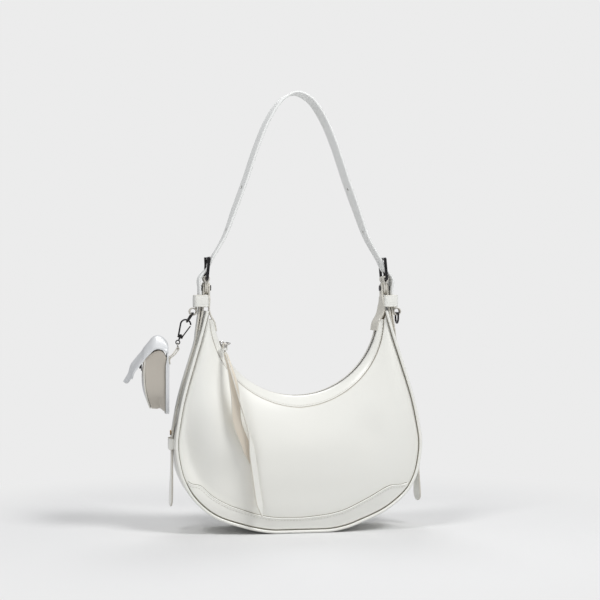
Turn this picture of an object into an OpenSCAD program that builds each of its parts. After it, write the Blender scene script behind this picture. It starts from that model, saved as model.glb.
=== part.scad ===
// Half moon shoulder bag: a zipped crescent body with piped panels, a folded gusset, scalloped
// base trims, side belts and a buckled shoulder strap, and a small flap pouch on a snap hook.
// X runs from the left tip to the right tip, the front faces -Y and Z is up.
// The origin is the middle of the flat stretch that the bag stands on.

/* [Body] */
// Half width of the body at its widest
body_half_w = 128; // [118:1:140]
// Height of the tips of the body over the base
body_h = 226; // [218:1:234]
// Width of the gusset at the base
gusset_base_w = 60; // [50:1:70]
// Width of the gusset at the tips
gusset_tip_w = 20; // [18:0.5:26]
// How far the gusset folds inwards along its middle
fold_depth = 8; // [4:0.5:10]
// Thickness of the leather panels and gusset
leather_t = 1.8; // [1.4:0.1:2.2]
// How far each panel swells out past its edges
panel_bulge = 12; // [6:0.5:18]
// Flat margin of each panel under its piping
seam_margin = 4; // [3.6:0.1:5]
// Radius of the piping
piping_r = 1.5; // [1:0.1:1.7]
// Height of the base trim in the middle
trim_h = 14.4; // [10:0.2:18]
// Thickness of the base trims
trim_t = 1.2; // [0.8:0.1:1.6]
// Thickness of the lining
lining_t = 0.6; // [0.4:0.1:1]
// Width of the slip pocket in the lining
pocket_w = 110; // [80:1:120]
// Drop of the slip pocket's mouth below the top seam
pocket_drop = 25; // [17:1:37]

/* [Mouth and zip] */
// Gap between the zip line's ends and the tips of the body
zip_tip_gap = 8; // [5:0.5:11]
// Drop of the centre of the zip line below the tips
zip_center_drop = 1; // [-2:0.5:4]
// Drop from the zip to the panel's top seam in the middle
facing_drop = 11; // [8:0.5:13]
// Drop from the zip to the panel's top seam at the tips
facing_tip_drop = 5; // [4:0.5:7]
// Width across the top seams in the middle
mouth_w = 44; // [40:1:52]
// Width across the top seams at the tips
mouth_tip_w = 18; // [17:0.5:22]
// Width of the flat crown between the slopes of the facings
crown_w = 16; // [15.6:0.2:17]
// Thickness of the zip facings
facing_t = 1.6; // [1.2:0.1:2]
// Width of the slot in which the zip shows
zip_slot_w = 7.2; // [6.8:0.2:8]
// Width of the zip tapes laid side by side
tape_w = 15; // [13:0.5:15.4]
// Thickness of the zip tape
tape_t = 0.6; // [0.4:0.1:0.8]
// Spacing of the zip teeth
tooth_pitch = 2.6; // [2.2:0.1:3.2]
// Height of a zip tooth
tooth_h = 1.5; // [1.2:0.1:1.6]
// Reach of a tooth across the tape
tooth_reach = 2.4; // [1.8:0.1:2.6]
// Gap between the two rows of teeth
chain_gap = 1.2; // [1.1:0.1:1.4]
// Half length of the zip, as an angle along its arc
zip_half_angle = 71; // [64:1:73]
// Angle from the lowest point at which the slider is parked
park_angle = 66; // [50:1:66]
// Length of the slider
slider_l = 9; // [7:0.5:11]
// Width of the slider
slider_w = 10; // [8.5:0.5:11]
// Thickness of the slider's plates
slider_plate_t = 1.2; // [1:0.1:1.6]

/* [Pull] */
// Width of the pull's leather tails
pull_w = 9; // [6:0.5:11]
// Thickness of the pull's leather
pull_t = 1.3; // [1:0.1:1.8]
// Drop of the long tail below the slider
pull_drop = 172; // [120:1:176]
// Sideways run of the long tail
pull_run = 36; // [20:1:50]
// How far the pull stands in front of the middle plane
pull_stand = 45; // [44:0.5:50]
// Wire radius of the slider's bail and ring
ring_wire_r = 0.8; // [0.6:0.05:0.9]

/* [Strap] */
// Width of the shoulder strap
strap_w = 22; // [18:1:24]
// Thickness of the shoulder strap
strap_t = 2.4; // [1.8:0.1:2.8]
// Rise of the top of the strap's arch over its rivets
strap_rise = 202.5; // [150:0.5:250]
// Distance of the strap's rivets inwards from the tips of the body
tab_inset = 1; // [0:0.5:2]
// Rise of the strap's rivets over the tips of the body
rivet_rise = 23.5; // [22:0.5:30]
// Thickness of the leather tabs
tab_t = 1.8; // [1.4:0.1:2.1]
// Width of the leather tabs
tab_w = 18; // [16:0.5:20]
// Radius of the rounded end of a fixed tab
ear_r = 5.5; // [5:0.1:6]
// Radius of the rounded end of a swinging tab
tab_end_r = 7; // [6.5:0.1:7.2]
// Radius of the rivets' shafts
rivet_r = 1.5; // [1.2:0.05:2]
// Height of the buckle between its bars
buckle_h = 21; // [18:0.5:24]
// Radius of the buckle's wire
buckle_wire_r = 1.5; // [1.2:0.1:1.8]
// Radius of the prong
prong_r = 1; // [0.8:0.1:1.1]
// Distance between two strap holes
hole_pitch = 45; // [35:1:50]
// Radius of the strap holes
hole_r = 1.8; // [1.4:0.1:2.2]

/* [Tips and side belts] */
// Height of the keeper round each tip
keeper_h = 12.5; // [10:0.5:14]
// Inner length of the keeper across the bag
keeper_in_x = 11.5; // [11:0.5:13]
// Inner width of the keeper from front to back
keeper_in_y = 20; // [19:0.5:22]
// Thickness of the keepers' leather
keeper_t = 1.5; // [1.2:0.1:1.8]
// Inner radius of the leather loop that holds the dee ring
loop_r = 2.8; // [2.6:0.1:3.2]
// Thickness of the leather of that loop
loop_t = 1.4; // [1.2:0.1:1.5]
// Width of the side belts
belt_w = 14; // [10:0.5:16]
// Thickness of the side belts
belt_t = 1.8; // [1.4:0.1:2]
// Drop of the belt keepers' lower edge below the widest place of the body
belt_keeper_drop = 6.4; // [0.4:0.1:12.4]
// Height of the belt keepers
belt_keeper_h = 12; // [9:0.5:14]
// Length of the belts' hanging tails
belt_tail_l = 57; // [40:1:62]
// Radius of the stud on each belt
stud_r = 2.6; // [2:0.1:3]

/* [Dee rings and snap hook] */
// Width of a dee ring between its wire centres
dee_w = 12; // [10:0.5:14]
// Length of a dee ring's straight sides
dee_side = 4.5; // [3:0.5:6]
// Wire radius of a dee ring
dee_wire_r = 1; // [0.8:0.05:1.1]
// Outward lean of the left dee ring
dee_lean = 33; // [20:1:45]
// Radius of the snap hook's round end
hook_r = 5.2; // [4.6:0.1:6]
// Length from the round end's centre to the hook's base
hook_l = 13.5; // [11:0.5:16]
// Wire radius of the snap hook
hook_wire_r = 0.85; // [0.7:0.05:1]
// Lean of the snap hook
hook_lean = 24; // [14:1:28]

/* [Pouch] */
// Width of the pouch
pouch_w = 66; // [56:1:72]
// Height of the pouch's back
pouch_h = 66; // [58:1:72]
// Depth of the pouch at its fullest
pouch_depth = 24; // [20:0.5:28]
// Thickness of the pouch's leather
pouch_t = 1.5; // [1.2:0.1:1.8]
// Gap between the pouch's back and the widest place of the body
pouch_gap = 5; // [4:0.5:12]
// Drop of the top of the pouch's back below the strap's rivets
pouch_top_drop = 61.5; // [57.5:0.5:65.5]
// Turn of the pouch towards the front
pouch_turn = -4; // [-7:1:7]
// Forward reach of the open flap beyond the pouch's depth
flap_overhang = 18; // [12:1:24]
// Rise of the open flap over its hinge
flap_rise = 13; // [10:0.5:18]
// Fall of the open flap's front edge below its hinge
flap_fall = 25; // [16:1:28]
// Droop of the flap's sides
flap_droop = 11; // [6:0.5:14]
// Length of the flap's tongue
tongue_l = 15; // [10:0.5:18]
// Radius of the snap fastener
snap_r = 4.5; // [3.5:0.1:5.5]

/* [Hidden] */
$fn = 48;

// Gap between soft pieces that lie on each other
seat_gap = 0.25;
// Gap that keeps moving pieces apart
run_gap = 0.35;
// Running clearance of a pin in its hole
pin_gap = 0.06;
// Length by which cuts run past the faces they cut
overrun = 1;
// Columns along half of the body and stations across its panels
half_cols = 26;
panel_rows = 6;
// Sides of the tubes that follow free paths
tube_sides = 6;

// Outline of half of the body, from the middle of the base to the tip,
// as shares of body_half_w and body_h
outline_shares = [
    [0, 0], [0.2, 0], [0.34, 0.011], [0.47, 0.035], [0.69, 0.09], [0.86, 0.165], [0.945, 0.24],
    [0.985, 0.32], [1, 0.4], [0.985, 0.48], [0.945, 0.6], [0.875, 0.74], [0.8, 0.88], [0.742, 1]
];
// Height of the base trim along the columns, as shares of trim_h
trim_height_shares = [1, 1.1, 1.2, 1.24, 1.27, 1.27, 1.28, 1.33, 1.29, 1, 0.47];
// Half of the strap's arch from its top to the buckle's top bar, as shares of its half span and rise
strap_shares = [
    [0, 1], [0.11, 0.982], [0.22, 0.934], [0.35, 0.826], [0.475, 0.672], [0.6, 0.482], [0.73, 0.3],
    [0.85, 0.135]
];
// Open flap of the pouch in profile, as shares of its reach, flap_rise and flap_fall
flap_shares = [
    [0, 0], [0.007, 0.35], [0.067, 0.68], [0.163, 0.92], [0.271, 1], [0.379, 0.85], [0.487, 0.44],
    [0.612, -0.06], [0.743, -0.36], [0.873, -0.656], [1, -1]
];
tip_angle = 85;
widest_share = [for (p = outline_shares) if (p[0] == 1) p[1]][0];

// Places that follow from the body's size
tip_x = outline_shares[len(outline_shares) - 1][0] * body_half_w;
zip_r = tip_x - zip_tip_gap;
zip_center_z = body_h - zip_center_drop;
tab_x = tip_x - tab_inset;
pivot_z = body_h + rivet_rise;
strap_top_z = pivot_z + strap_rise;
belt_keeper_z = widest_share * body_h - belt_keeper_drop;
pouch_x = body_half_w + pouch_gap;
pouch_top_z = pivot_z - pouch_top_drop;

// Straight mix, and a smooth curve through points p at the running number q
function mix(a, b, f) = a + (b - a) * f;
function point_at(p, i) =
    i < 0 ? 2 * p[0] - p[1] : i >= len(p) ? 2 * p[len(p) - 1] - p[len(p) - 2] : p[i];
function smooth_bit(a, b, c, d, f) =
    0.5 * (2 * b + (c - a) * f + (2 * a - 5 * b + 4 * c - d) * f * f + (3 * b - a - 3 * c + d) * f * f * f);
function smooth_at(p, q) =
    let (i = min(floor(q), len(p) - 2))
    smooth_bit(point_at(p, i - 1), point_at(p, i), point_at(p, i + 1), point_at(p, i + 2), q - i);
function smooth_path(p, n) = [for (k = [0 : n]) smooth_at(p, k * (len(p) - 1) / n)];
function unit(v) = v / norm(v);
function side_of(v) = [v[1], -v[0]];

// Body outline and top seam at column c, which runs from -half_cols to half_cols
function side_sign(c) = c < 0 ? -1 : 1;
function outer_at(c) =
    let (p = smooth_at(outline_shares, abs(c) / half_cols * (len(outline_shares) - 1)))
    [side_sign(c) * p[0] * body_half_w, max(0, p[1]) * body_h];
function arc_at(c, r) =
    let (a = tip_angle * c / half_cols)
    [r * sin(a), zip_center_z - r * cos(a)];
function seam_at(c) = arc_at(c, zip_r + mix(facing_drop, facing_tip_drop, abs(c) / half_cols));
function gusset_half(z) = mix(gusset_base_w, gusset_tip_w, pow(min(z, body_h) / body_h, 1.3)) / 2;
function mouth_half(c) = mix(mouth_w, mouth_tip_w, pow(abs(c) / half_cols, 1.5)) / 2;
// Outward direction of the body outline
function out_dir(c) =
    c == 0 ? [0, -1] :
    let (
        a = outer_at(max(c - 1, -half_cols)),
        b = outer_at(min(c + 1, half_cols)),
        d = unit(side_of(b - a))
    ) abs(outer_at(c)[0]) < 0.21 * body_half_w ? [0, -1] : d;

// Point of a panel's outer face: v is 0 at the outline and 1 at the top seam
function panel_span(c) = norm(seam_at(c) - outer_at(c));
function margin_share(c) = min(seam_margin / max(overrun, -out_dir(c) * (seam_at(c) - outer_at(c))), 0.4);
function panel_y(c, v) =
    let (
        f = margin_share(c),
        w = max(0, (v - f) / (1 - f))
    )
    mix(gusset_half(outer_at(c)[1]), mouth_half(c), v) + leather_t
        + panel_bulge * panel_span(c) / panel_span(0) * 4 * w * (1 - w);
function panel_point(c, v, lift) =
    let (p = mix(outer_at(c), seam_at(c), v))
    [p[0], -(panel_y(c, v) + lift), p[1]];
function panel_row(c, j) =
    j == 0 ? 0 : mix(margin_share(c), 1, (j - 1) / (panel_rows - 1));
// The same face as its mesh has it, straight from row to row
function panel_chord_y(c, v) =
    let (
        f = margin_share(c),
        q = (v - f) / (1 - f) * (panel_rows - 1),
        j = max(0, min(floor(q), panel_rows - 2))
    )
    mix(panel_y(c, panel_row(c, j + 1)), panel_y(c, panel_row(c, j + 2)), q - j);

// Closed solid between two grids of points that face each other
module skin(a, b) {
    nu = len(a);
    nv = len(a[0]);
    mu = floor(nu / 2);
    mv = floor(nv / 2);
    cell = cross(a[mu][mv] - a[mu - 1][mv], a[mu][mv] - a[mu][mv - 1]);
    flip = cell * (a[mu][mv] - b[mu][mv]) > 0;
    pa = [for (r = a) for (p = r) p];
    pb = [for (r = b) for (p = r) p];
    n = nu * nv;
    quads = [
        for (i = [0 : nu - 2]) for (j = [0 : nv - 2])
            each [
                [i * nv + j, i * nv + j + 1, (i + 1) * nv + j + 1, (i + 1) * nv + j],
                [n + i * nv + j, n + (i + 1) * nv + j, n + (i + 1) * nv + j + 1, n + i * nv + j + 1]
            ],
        for (i = [0 : nu - 2])
            each [
                [i * nv, (i + 1) * nv, n + (i + 1) * nv, n + i * nv],
                [(i + 1) * nv + nv - 1, i * nv + nv - 1, n + i * nv + nv - 1, n + (i + 1) * nv + nv - 1]
            ],
        for (j = [0 : nv - 2])
            each [
                [j + 1, j, n + j, n + j + 1],
                [(nu - 1) * nv + j, (nu - 1) * nv + j + 1, n + (nu - 1) * nv + j + 1, n + (nu - 1) * nv + j]
            ]
    ];
    tris = [for (q = quads) each [[q[0], q[1], q[2]], [q[0], q[2], q[3]]]];
    polyhedron(concat(pa, pb), flip ? tris : [for (t = tris) [t[2], t[1], t[0]]]);
}

// Round tube along a path, with the two directions of each ring given
module tube(path, first, second, r) {
    n = len(path);
    s = tube_sides;
    pts = [
        for (i = [0 : n - 1]) for (k = [0 : s - 1])
            path[i] + r * (cos(k * 360 / s) * first[i] + sin(k * 360 / s) * second[i])
    ];
    faces = [
        for (i = [0 : n - 2]) for (k = [0 : s - 1])
            each [
                [i * s + k, (i + 1) * s + (k + 1) % s, i * s + (k + 1) % s],
                [i * s + k, (i + 1) * s + k, (i + 1) * s + (k + 1) % s]
            ],
        [for (k = [0 : s - 1]) k],
        [for (k = [s - 1 : -1 : 0]) (n - 1) * s + k]
    ];
    turn = cross(first[0], second[0]) * (path[1] - path[0]) > 0;
    polyhedron(pts, turn ? faces : [for (f = faces) [for (k = [len(f) - 1 : -1 : 0]) f[k]]]);
}

// Flat band that follows a path in the XZ plane: t thick, w wide along Y
function path_dir(p, i) = unit(p[min(i + 1, len(p) - 1)] - p[max(i - 1, 0)]);
function band_outline(p, t) = concat(
    [for (i = [0 : len(p) - 1]) p[i] + side_of(path_dir(p, i)) * t / 2],
    [for (i = [len(p) - 1 : -1 : 0]) p[i] - side_of(path_dir(p, i)) * t / 2]
);
module band(p, t, w) {
    rotate([90, 0, 0])
        linear_extrude(w, center = true)
            polygon(band_outline(p, t));
}

// Cylinder along X, along Y, and copies on the other side of the bag
module x_rod(r, l) {
    rotate([0, 90, 0])
        cylinder(r = r, h = l, center = true);
}
module y_rod(r, l) {
    rotate([90, 0, 0])
        cylinder(r = r, h = l, center = true);
}
module on_side(s) {
    if (s < 0)
        mirror([1, 0, 0])
            children();
    else
        children();
}
module facing_rear() {
    mirror([0, 1, 0])
        children();
}
// Sector about the zip's centre line: half angle h, swept from a YR outline
module zip_sweep(h) {
    translate([0, 0, zip_center_z])
        rotate([90, 0, 0])
            rotate([0, 0, -90 - h])
                rotate_extrude(angle = 2 * h, $fn = 180)
                    children();
}
// Puts what stands at the lowest point of the zip at angle a along it
module along_zip(a) {
    translate([0, 0, zip_center_z])
        rotate([0, -a, 0])
            translate([0, 0, -zip_center_z])
                children();
}

// Body panels, gusset and piping

module panel() {
    color("white")
        skin(
            [for (c = [-half_cols : half_cols]) [for (j = [0 : panel_rows])
                panel_point(c, panel_row(c, j), 0)]],
            [for (c = [-half_cols : half_cols]) [for (j = [0 : panel_rows])
                panel_point(c, panel_row(c, j), -leather_t)]]
        );
}

// The gusset folds inwards between the belt keepers and the tips
fold_span_shares = [0.42, 0.64, 0.86, 0.97];
function ease(f) = let (g = max(0, min(1, f))) g * g * (3 - 2 * g);
function fold_at(p) =
    let (
        s = p[1] / body_h,
        w = fold_span_shares,
        room = norm(p - [0, zip_center_z]) - plate_low_r - slider_plate_t - leather_t - run_gap
    )
    max(0, min(fold_depth, room)) * ease((s - w[0]) / (w[1] - w[0])) * ease((w[3] - s) / (w[3] - w[2]));
gusset_stations = [-1, -0.5, 0, 0.5, 1];
// Half width that fits between the panels, at a depth below the outline
function gusset_edge(c, depth) =
    panel_y(c, min(2 * depth / panel_span(c), margin_share(c))) - leather_t - seat_gap;
function gusset_point(c, g, depth) =
    let (
        p = outer_at(c),
        q = p - out_dir(c) * (depth + fold_at(p) * (1 - abs(g)))
    )
    [q[0], g * gusset_edge(c, depth), q[1]];

module side_gusset() {
    color("ivory")
        skin(
            [for (c = [-half_cols : half_cols]) [for (g = gusset_stations) gusset_point(c, g, 0)]],
            [for (c = [-half_cols : half_cols]) [for (g = gusset_stations) gusset_point(c, g, leather_t)]]
        );
}

module piping() {
    cs = [for (c = [-half_cols : half_cols]) c];
    path = [
        for (c = cs)
            let (p = outer_at(c), q = p - out_dir(c) * piping_r)
            [q[0], -(gusset_half(p[1]) + leather_t + seat_gap + piping_r), q[1]]
    ];
    color("whitesmoke")
        tube(
            path,
            [for (c = cs) [out_dir(c)[0], 0, out_dir(c)[1]]],
            [for (c = cs) [0, 1, 0]],
            piping_r
        );
}

// Scalloped trim over the foot of a panel
trim_cols = 10;
trim_rows = 3;
function trim_share(c) = trim_h * smooth_at(trim_height_shares, abs(c)) / panel_span(c);
function trim_point(c, j, lift) =
    let (f = margin_share(c))
    panel_point(c, mix(f, max(trim_share(c), 1.2 * f), j / trim_rows), seat_gap + lift);
module base_trim() {
    color("white")
        skin(
            [for (c = [-trim_cols : trim_cols]) [for (j = [0 : trim_rows]) trim_point(c, j, trim_t)]],
            [for (c = [-trim_cols : trim_cols]) [for (j = [0 : trim_rows]) trim_point(c, j, 0)]]
        );
}

// Lining, one sheet behind each panel, on the panel's own rows and columns
lining_cols = 20;
function lining_row(c, j) = j == panel_rows ? mix(panel_row(c, j - 1), 1, 0.7) : panel_row(c, j);
function lining_point(c, j, depth) =
    let (v = lining_row(c, j), p = mix(outer_at(c), seam_at(c), v))
    [p[0], leather_t + seat_gap + depth - panel_chord_y(c, v), p[1]];
module lining() {
    color("tan")
        skin(
            [for (c = [-lining_cols : lining_cols]) [for (j = [1 : panel_rows]) lining_point(c, j, 0)]],
            [for (c = [-lining_cols : lining_cols]) [for (j = [1 : panel_rows])
                lining_point(c, j, lining_t)]]
        );
}

// Slip pocket, sewn to the rear lining along its sides and foot and slack at its top
pocket_cols = 6;
pocket_rows = 4;
pocket_z = 40;
pocket_slack = 4;
function panel_x(c, v) = mix(outer_at(c)[0], seam_at(c)[0], v);
// Column at which a row of the panel passes x, by halving
function column_at(x, v, low = 0, high = half_cols, n = 12) =
    let (c = (low + high) / 2)
    n == 0 ? c : panel_x(c, v) < x ? column_at(x, v, c, high, n - 1) : column_at(x, v, low, c, n - 1);
function pocket_point(i, j, depth) =
    let (
        v = mix(pocket_z, panel_span(0) - pocket_drop, j / pocket_rows) / panel_span(0),
        c = i == 0 ? 0 : column_at(pocket_w / 2 * abs(i) / pocket_cols, v),
        slack = pocket_slack * (1 - pow(abs(i) / pocket_cols, 2)) * pow(j / pocket_rows, 1.5),
        y = panel_chord_y(c, v) - leather_t - lining_t - 2.5 * seat_gap - slack - depth
    )
    [side_sign(i) * panel_x(c, v), y, mix(outer_at(c)[1], seam_at(c)[1], v)];
module inner_pocket() {
    color("tan")
        skin(
            [for (i = [-pocket_cols : pocket_cols]) [for (j = [0 : pocket_rows]) pocket_point(i, j, 0)]],
            [for (i = [-pocket_cols : pocket_cols]) [for (j = [0 : pocket_rows])
                pocket_point(i, j, lining_t)]]
        );
}

// Zip facings, tapes, teeth and stops

facing_rows = 4;
function facing_point(c, j, depth) =
    let (
        a = seam_at(c),
        r_seam = norm(a - [0, zip_center_z]),
        y_seam = mouth_half(c) - seat_gap,
        lip = zip_slot_w / 2,
        edge = crown_w / 2,
        r = j == 0 ? r_seam : j == 1 ? mix(r_seam, zip_r, 0.6) : zip_r,
        y = j == 0 ? y_seam : j == 1 ? mix(y_seam, edge, 0.5) : j == 2 ? min(edge, 0.98 * y_seam) : lip,
        p = arc_at(c, r + depth)
    )
    [p[0], -y, p[1]];
module facing() {
    color("white")
        skin(
            [for (c = [-half_cols : half_cols]) [for (j = [0 : facing_rows - 1]) facing_point(c, j, 0)]],
            [for (c = [-half_cols : half_cols]) [for (j = [0 : facing_rows - 1])
                facing_point(c, j, facing_t)]]
        );
}

tape_r = zip_r + facing_t + 0.5 * seat_gap;
tooth_top_r = tape_r - 0.5 * seat_gap - tooth_h;
tape_end_angle = zip_half_angle + 2;
module zip_tape() {
    color("gainsboro")
        zip_sweep(tape_end_angle)
            translate([tape_r, chain_gap / 2])
                square([tape_t, (tape_w - chain_gap) / 2]);
}
module zip_teeth(phase) {
    step = tooth_pitch / zip_r * 180 / PI;
    count = floor(zip_half_angle / step);
    color("dimgray")
        for (k = [-count : count - 1])
            along_zip((k + phase) * step)
                translate([
                    -tooth_pitch * 0.3,
                    -chain_gap / 2 - tooth_reach,
                    zip_center_z - tooth_top_r - tooth_h
                ])
                    cube([tooth_pitch * 0.6, tooth_reach, tooth_h]);
}
module zip_stops() {
    stop_l = tooth_pitch;
    color("dimgray")
        for (s = [-1, 1])
            along_zip(s * (zip_half_angle + 1))
                translate([-stop_l / 2, -zip_slot_w / 2 + run_gap, zip_center_z - tooth_top_r - tooth_h])
                    cube([stop_l, zip_slot_w - 2 * run_gap, tooth_h]);
}

// Slider with its plates above and below the chain, the web between the rows and the bail
plate_low_r = tape_r + tape_t + run_gap;
plate_top_r = min(zip_r, tooth_top_r) - run_gap;
slider_half_angle = slider_l / 2 / zip_r * 180 / PI;
bail_r = 4.2;
bail_base_z = zip_center_z - plate_top_r + slider_plate_t;
bail_mid_z = bail_base_z - ring_wire_r;
module slider_here() {
    zip_sweep(slider_half_angle) {
        translate([plate_low_r, -slider_w / 2])
            square([slider_plate_t, slider_w]);
        translate([plate_top_r - slider_plate_t, -slider_w / 2])
            square([slider_plate_t, slider_w]);
        translate([plate_top_r - slider_plate_t / 2, -chain_gap / 2 + run_gap])
            square([plate_low_r - plate_top_r + slider_plate_t, chain_gap - 2 * run_gap]);
    }
    translate([0, 0, bail_mid_z])
        rotate([90, 0, 0])
            rotate_extrude(angle = 180, $fn = 48)
                translate([bail_r, 0])
                    circle(r = ring_wire_r, $fn = 16);
}
module zip_slider() {
    color("silver")
        along_zip(-park_angle)
            slider_here();
}

// Place and size of the knot that hangs on the ring in front of the facing
hang_y = -19;
knot_t = 1.5;
knot_r = ring_wire_r + pin_gap + knot_t;
knot_w = 5.5;
// Wire ring that stands in the bail and reaches over the front facing
ring_low_z = bail_mid_z + bail_r - 2 * ring_wire_r - run_gap;
ring_y_near = 3;
ring_h = 5;
ring_y_far = hang_y - knot_w / 2 - run_gap - ring_wire_r;
module ring_side(y_a, y_b, z_a, z_b) {
    d = norm([y_b - y_a, z_b - z_a]);
    translate([0, y_a, z_a]) {
        rotate([-atan2(y_b - y_a, z_b - z_a), 0, 0])
            cylinder(r = ring_wire_r, h = d, $fn = 16);
        sphere(r = ring_wire_r, $fn = 16);
    }
}
module pull_ring() {
    high_z = ring_low_z + ring_h;
    color("silver")
        along_zip(-park_angle) {
            ring_side(ring_y_near, ring_y_far, ring_low_z, ring_low_z);
            ring_side(ring_y_far, ring_y_far, ring_low_z, high_z);
            ring_side(ring_y_far, ring_y_near, high_z, high_z);
            ring_side(ring_y_near, ring_y_near, high_z, ring_low_z);
        }
}

// The pull hangs from the ring's lower wire, at this place in the bag's frame
hang_r = zip_center_z - ring_low_z;
hang_x = -hang_r * sin(park_angle);
hang_z = zip_center_z - hang_r * cos(park_angle);
module pull_knot() {
    color("white")
        translate([hang_x, hang_y, hang_z])
            difference() {
                union() {
                    y_rod(knot_r, knot_w);
                    translate([-knot_r, -knot_w / 2, -lift_drop + bend_r])
                        cube([2 * knot_r, knot_w, lift_drop - bend_r]);
                }
                y_rod(ring_wire_r + pin_gap, knot_w + 2 * overrun);
                translate([0, 0, -lift_drop])
                    x_rod(bend_r + run_gap, 2 * knot_r + 2 * overrun);
            }
}
// Bend of the leather below the knot, and the two tails that hang from it
lift_drop = 6.8;
lift_z = hang_z - lift_drop;
bend_r = 1.5;
tail_rows = 15;
short_tail_rows = 12;
pull_curl_share = 0.36;
short_tail_shift_share = 0.6;
tail_root_share = 0.5;
tail_tip_share = 0.12;
function tail_mid(f) = [
    hang_x + pull_run * f,
    -pull_stand + (pull_stand + hang_y) * pow(1 - min(1, max(0, f) / pull_curl_share), 2.6),
    lift_z - (pull_drop - lift_drop) * f
];
tail_across = unit([pull_drop, 0, pull_run]);
function tail_point(f, side, width, lift) =
    let (
        b = tail_mid(f + 0.01) - tail_mid(f - 0.01),
        n = unit([0, b[2], -b[1]])
    )
    tail_mid(f) - side * width / 2 * tail_across + lift * n;
// The first row narrows to the bend and the last one closes in to a slanted tip
module tail(first, rows, lift) {
    function width_share(i) = i == rows ? tail_tip_share : i == 0 ? tail_root_share : 1;
    function tail_row(i, h) =
        [for (side = [-1, 0, 1]) tail_point(i / tail_rows, side, pull_w * width_share(i), h)];
    skin(
        [for (i = [first : rows]) tail_row(i, lift + pull_t)],
        [for (i = [first : rows]) tail_row(i, lift)]
    );
}
module pull_long_tail() {
    color("white") {
        tail(0, tail_rows, 0);
        translate([hang_x, hang_y, lift_z])
            x_rod(bend_r, 2 * knot_r);
    }
}
module pull_short_tail() {
    color("tan")
        translate(-pull_w * short_tail_shift_share * tail_across)
            tail(1, short_tail_rows, -pull_t - seat_gap);
}

// Tips: fixed tabs, keepers, rivets and ring loops

stack_gap = 0.3;
inner_ear_x = tab_x - 1.5 * tab_t - stack_gap;
outer_ear_x = tab_x + 1.5 * tab_t + stack_gap;
keeper_top_z = pivot_z - tab_end_r - run_gap;
keeper_low_z = keeper_top_z - keeper_h;
keeper_x = inner_ear_x + tab_t / 2 + stack_gap + keeper_t;
// Face outline of a fixed tab, seen along X: a round ear at the rivet and a wide leg below
module ear_outline(low_z) {
    span = 2 * body_half_w + 4 * tab_w;
    translate([0, 0, pivot_z])
        x_rod(ear_r, span);
    translate([0, 0, low_z])
        linear_extrude(pivot_z - low_z)
            square([span, 2 * ear_r], center = true);
    translate([0, 0, low_z])
        linear_extrude(keeper_top_z - overrun - low_z)
            square([span, tab_w], center = true);
}
module rivet_hole() {
    translate([tab_x, 0, pivot_z])
        x_rod(rivet_r + pin_gap, 6 * tab_t + 2 * overrun);
}
inner_tab_drop = 20;
inner_tab_low_z = zip_center_z - inner_tab_drop;
module inner_tab() {
    reach_r = zip_r - facing_t / 2;
    low_x = sqrt(pow(reach_r, 2) - pow(inner_tab_drop, 2)) - tab_t / 2 - 2 * run_gap;
    path = smooth_path([
        [inner_ear_x, pivot_z + ear_r + overrun],
        [inner_ear_x, keeper_low_z + keeper_t],
        [mix(inner_ear_x, low_x, 0.45), mix(zip_center_z, inner_tab_low_z, 0.15)],
        [low_x + 0.3 * tab_t, mix(zip_center_z, inner_tab_low_z, 0.6)],
        [low_x - 0.4 * tab_t, inner_tab_low_z]
    ], 16);
    color("whitesmoke")
        difference() {
            intersection() {
                band(path, tab_t, tab_w);
                ear_outline(inner_tab_low_z - tab_w);
            }
            rivet_hole();
        }
}
outer_tab_low_z = 0.91 * body_h;
function outline_x(z) =
    let (hits = [for (c = [half_cols / 2 : 0.25 : half_cols]) if (outer_at(c)[1] >= z) outer_at(c)[0]])
    len(hits) > 0 ? hits[0] : outer_at(half_cols)[0];
module outer_tab() {
    low_x = outline_x(outer_tab_low_z) + tab_t / 2 + stack_gap;
    path = smooth_path([
        [outer_ear_x, pivot_z + ear_r + overrun],
        [outer_ear_x, keeper_top_z],
        [outer_ear_x + tab_t / 2, keeper_low_z - keeper_t],
        [low_x, outer_tab_low_z]
    ], 12);
    color("whitesmoke")
        difference() {
            intersection() {
                band(path, tab_t, tab_w);
                ear_outline(outer_tab_low_z - tab_w);
            }
            rivet_hole();
        }
}
module rounded_rect(x, y, r) {
    translate([r, r])
        square([x - 2 * r, y - 2 * r]);
    for (i = [r, x - r])
        for (j = [r, y - r])
            translate([i, j])
                circle(r = r, $fn = 24);
    translate([0, r])
        square([x, y - 2 * r]);
    translate([r, 0])
        square([x - 2 * r, y]);
}
module tip_keeper() {
    color("whitesmoke")
        translate([keeper_x - keeper_t, 0, keeper_low_z])
            linear_extrude(keeper_h)
                difference() {
                    translate([0, -keeper_in_y / 2 - keeper_t])
                        rounded_rect(keeper_in_x + 2 * keeper_t, keeper_in_y + 2 * keeper_t, 2 * keeper_t);
                    translate([keeper_t, -keeper_in_y / 2])
                        rounded_rect(keeper_in_x, keeper_in_y, keeper_t);
                }
}
rivet_head_r = 2 * rivet_r;
rivet_head_t = 0.5 * tab_t;
module rivet() {
    reach = 2 * tab_t + 2 * stack_gap;
    color("dimgray")
        translate([tab_x, 0, pivot_z]) {
            x_rod(rivet_r, 2 * reach + rivet_head_t);
            for (s = [-1, 1])
                translate([s * (reach + rivet_head_t / 2), 0, 0])
                    x_rod(rivet_head_r, rivet_head_t);
        }
}
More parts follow.
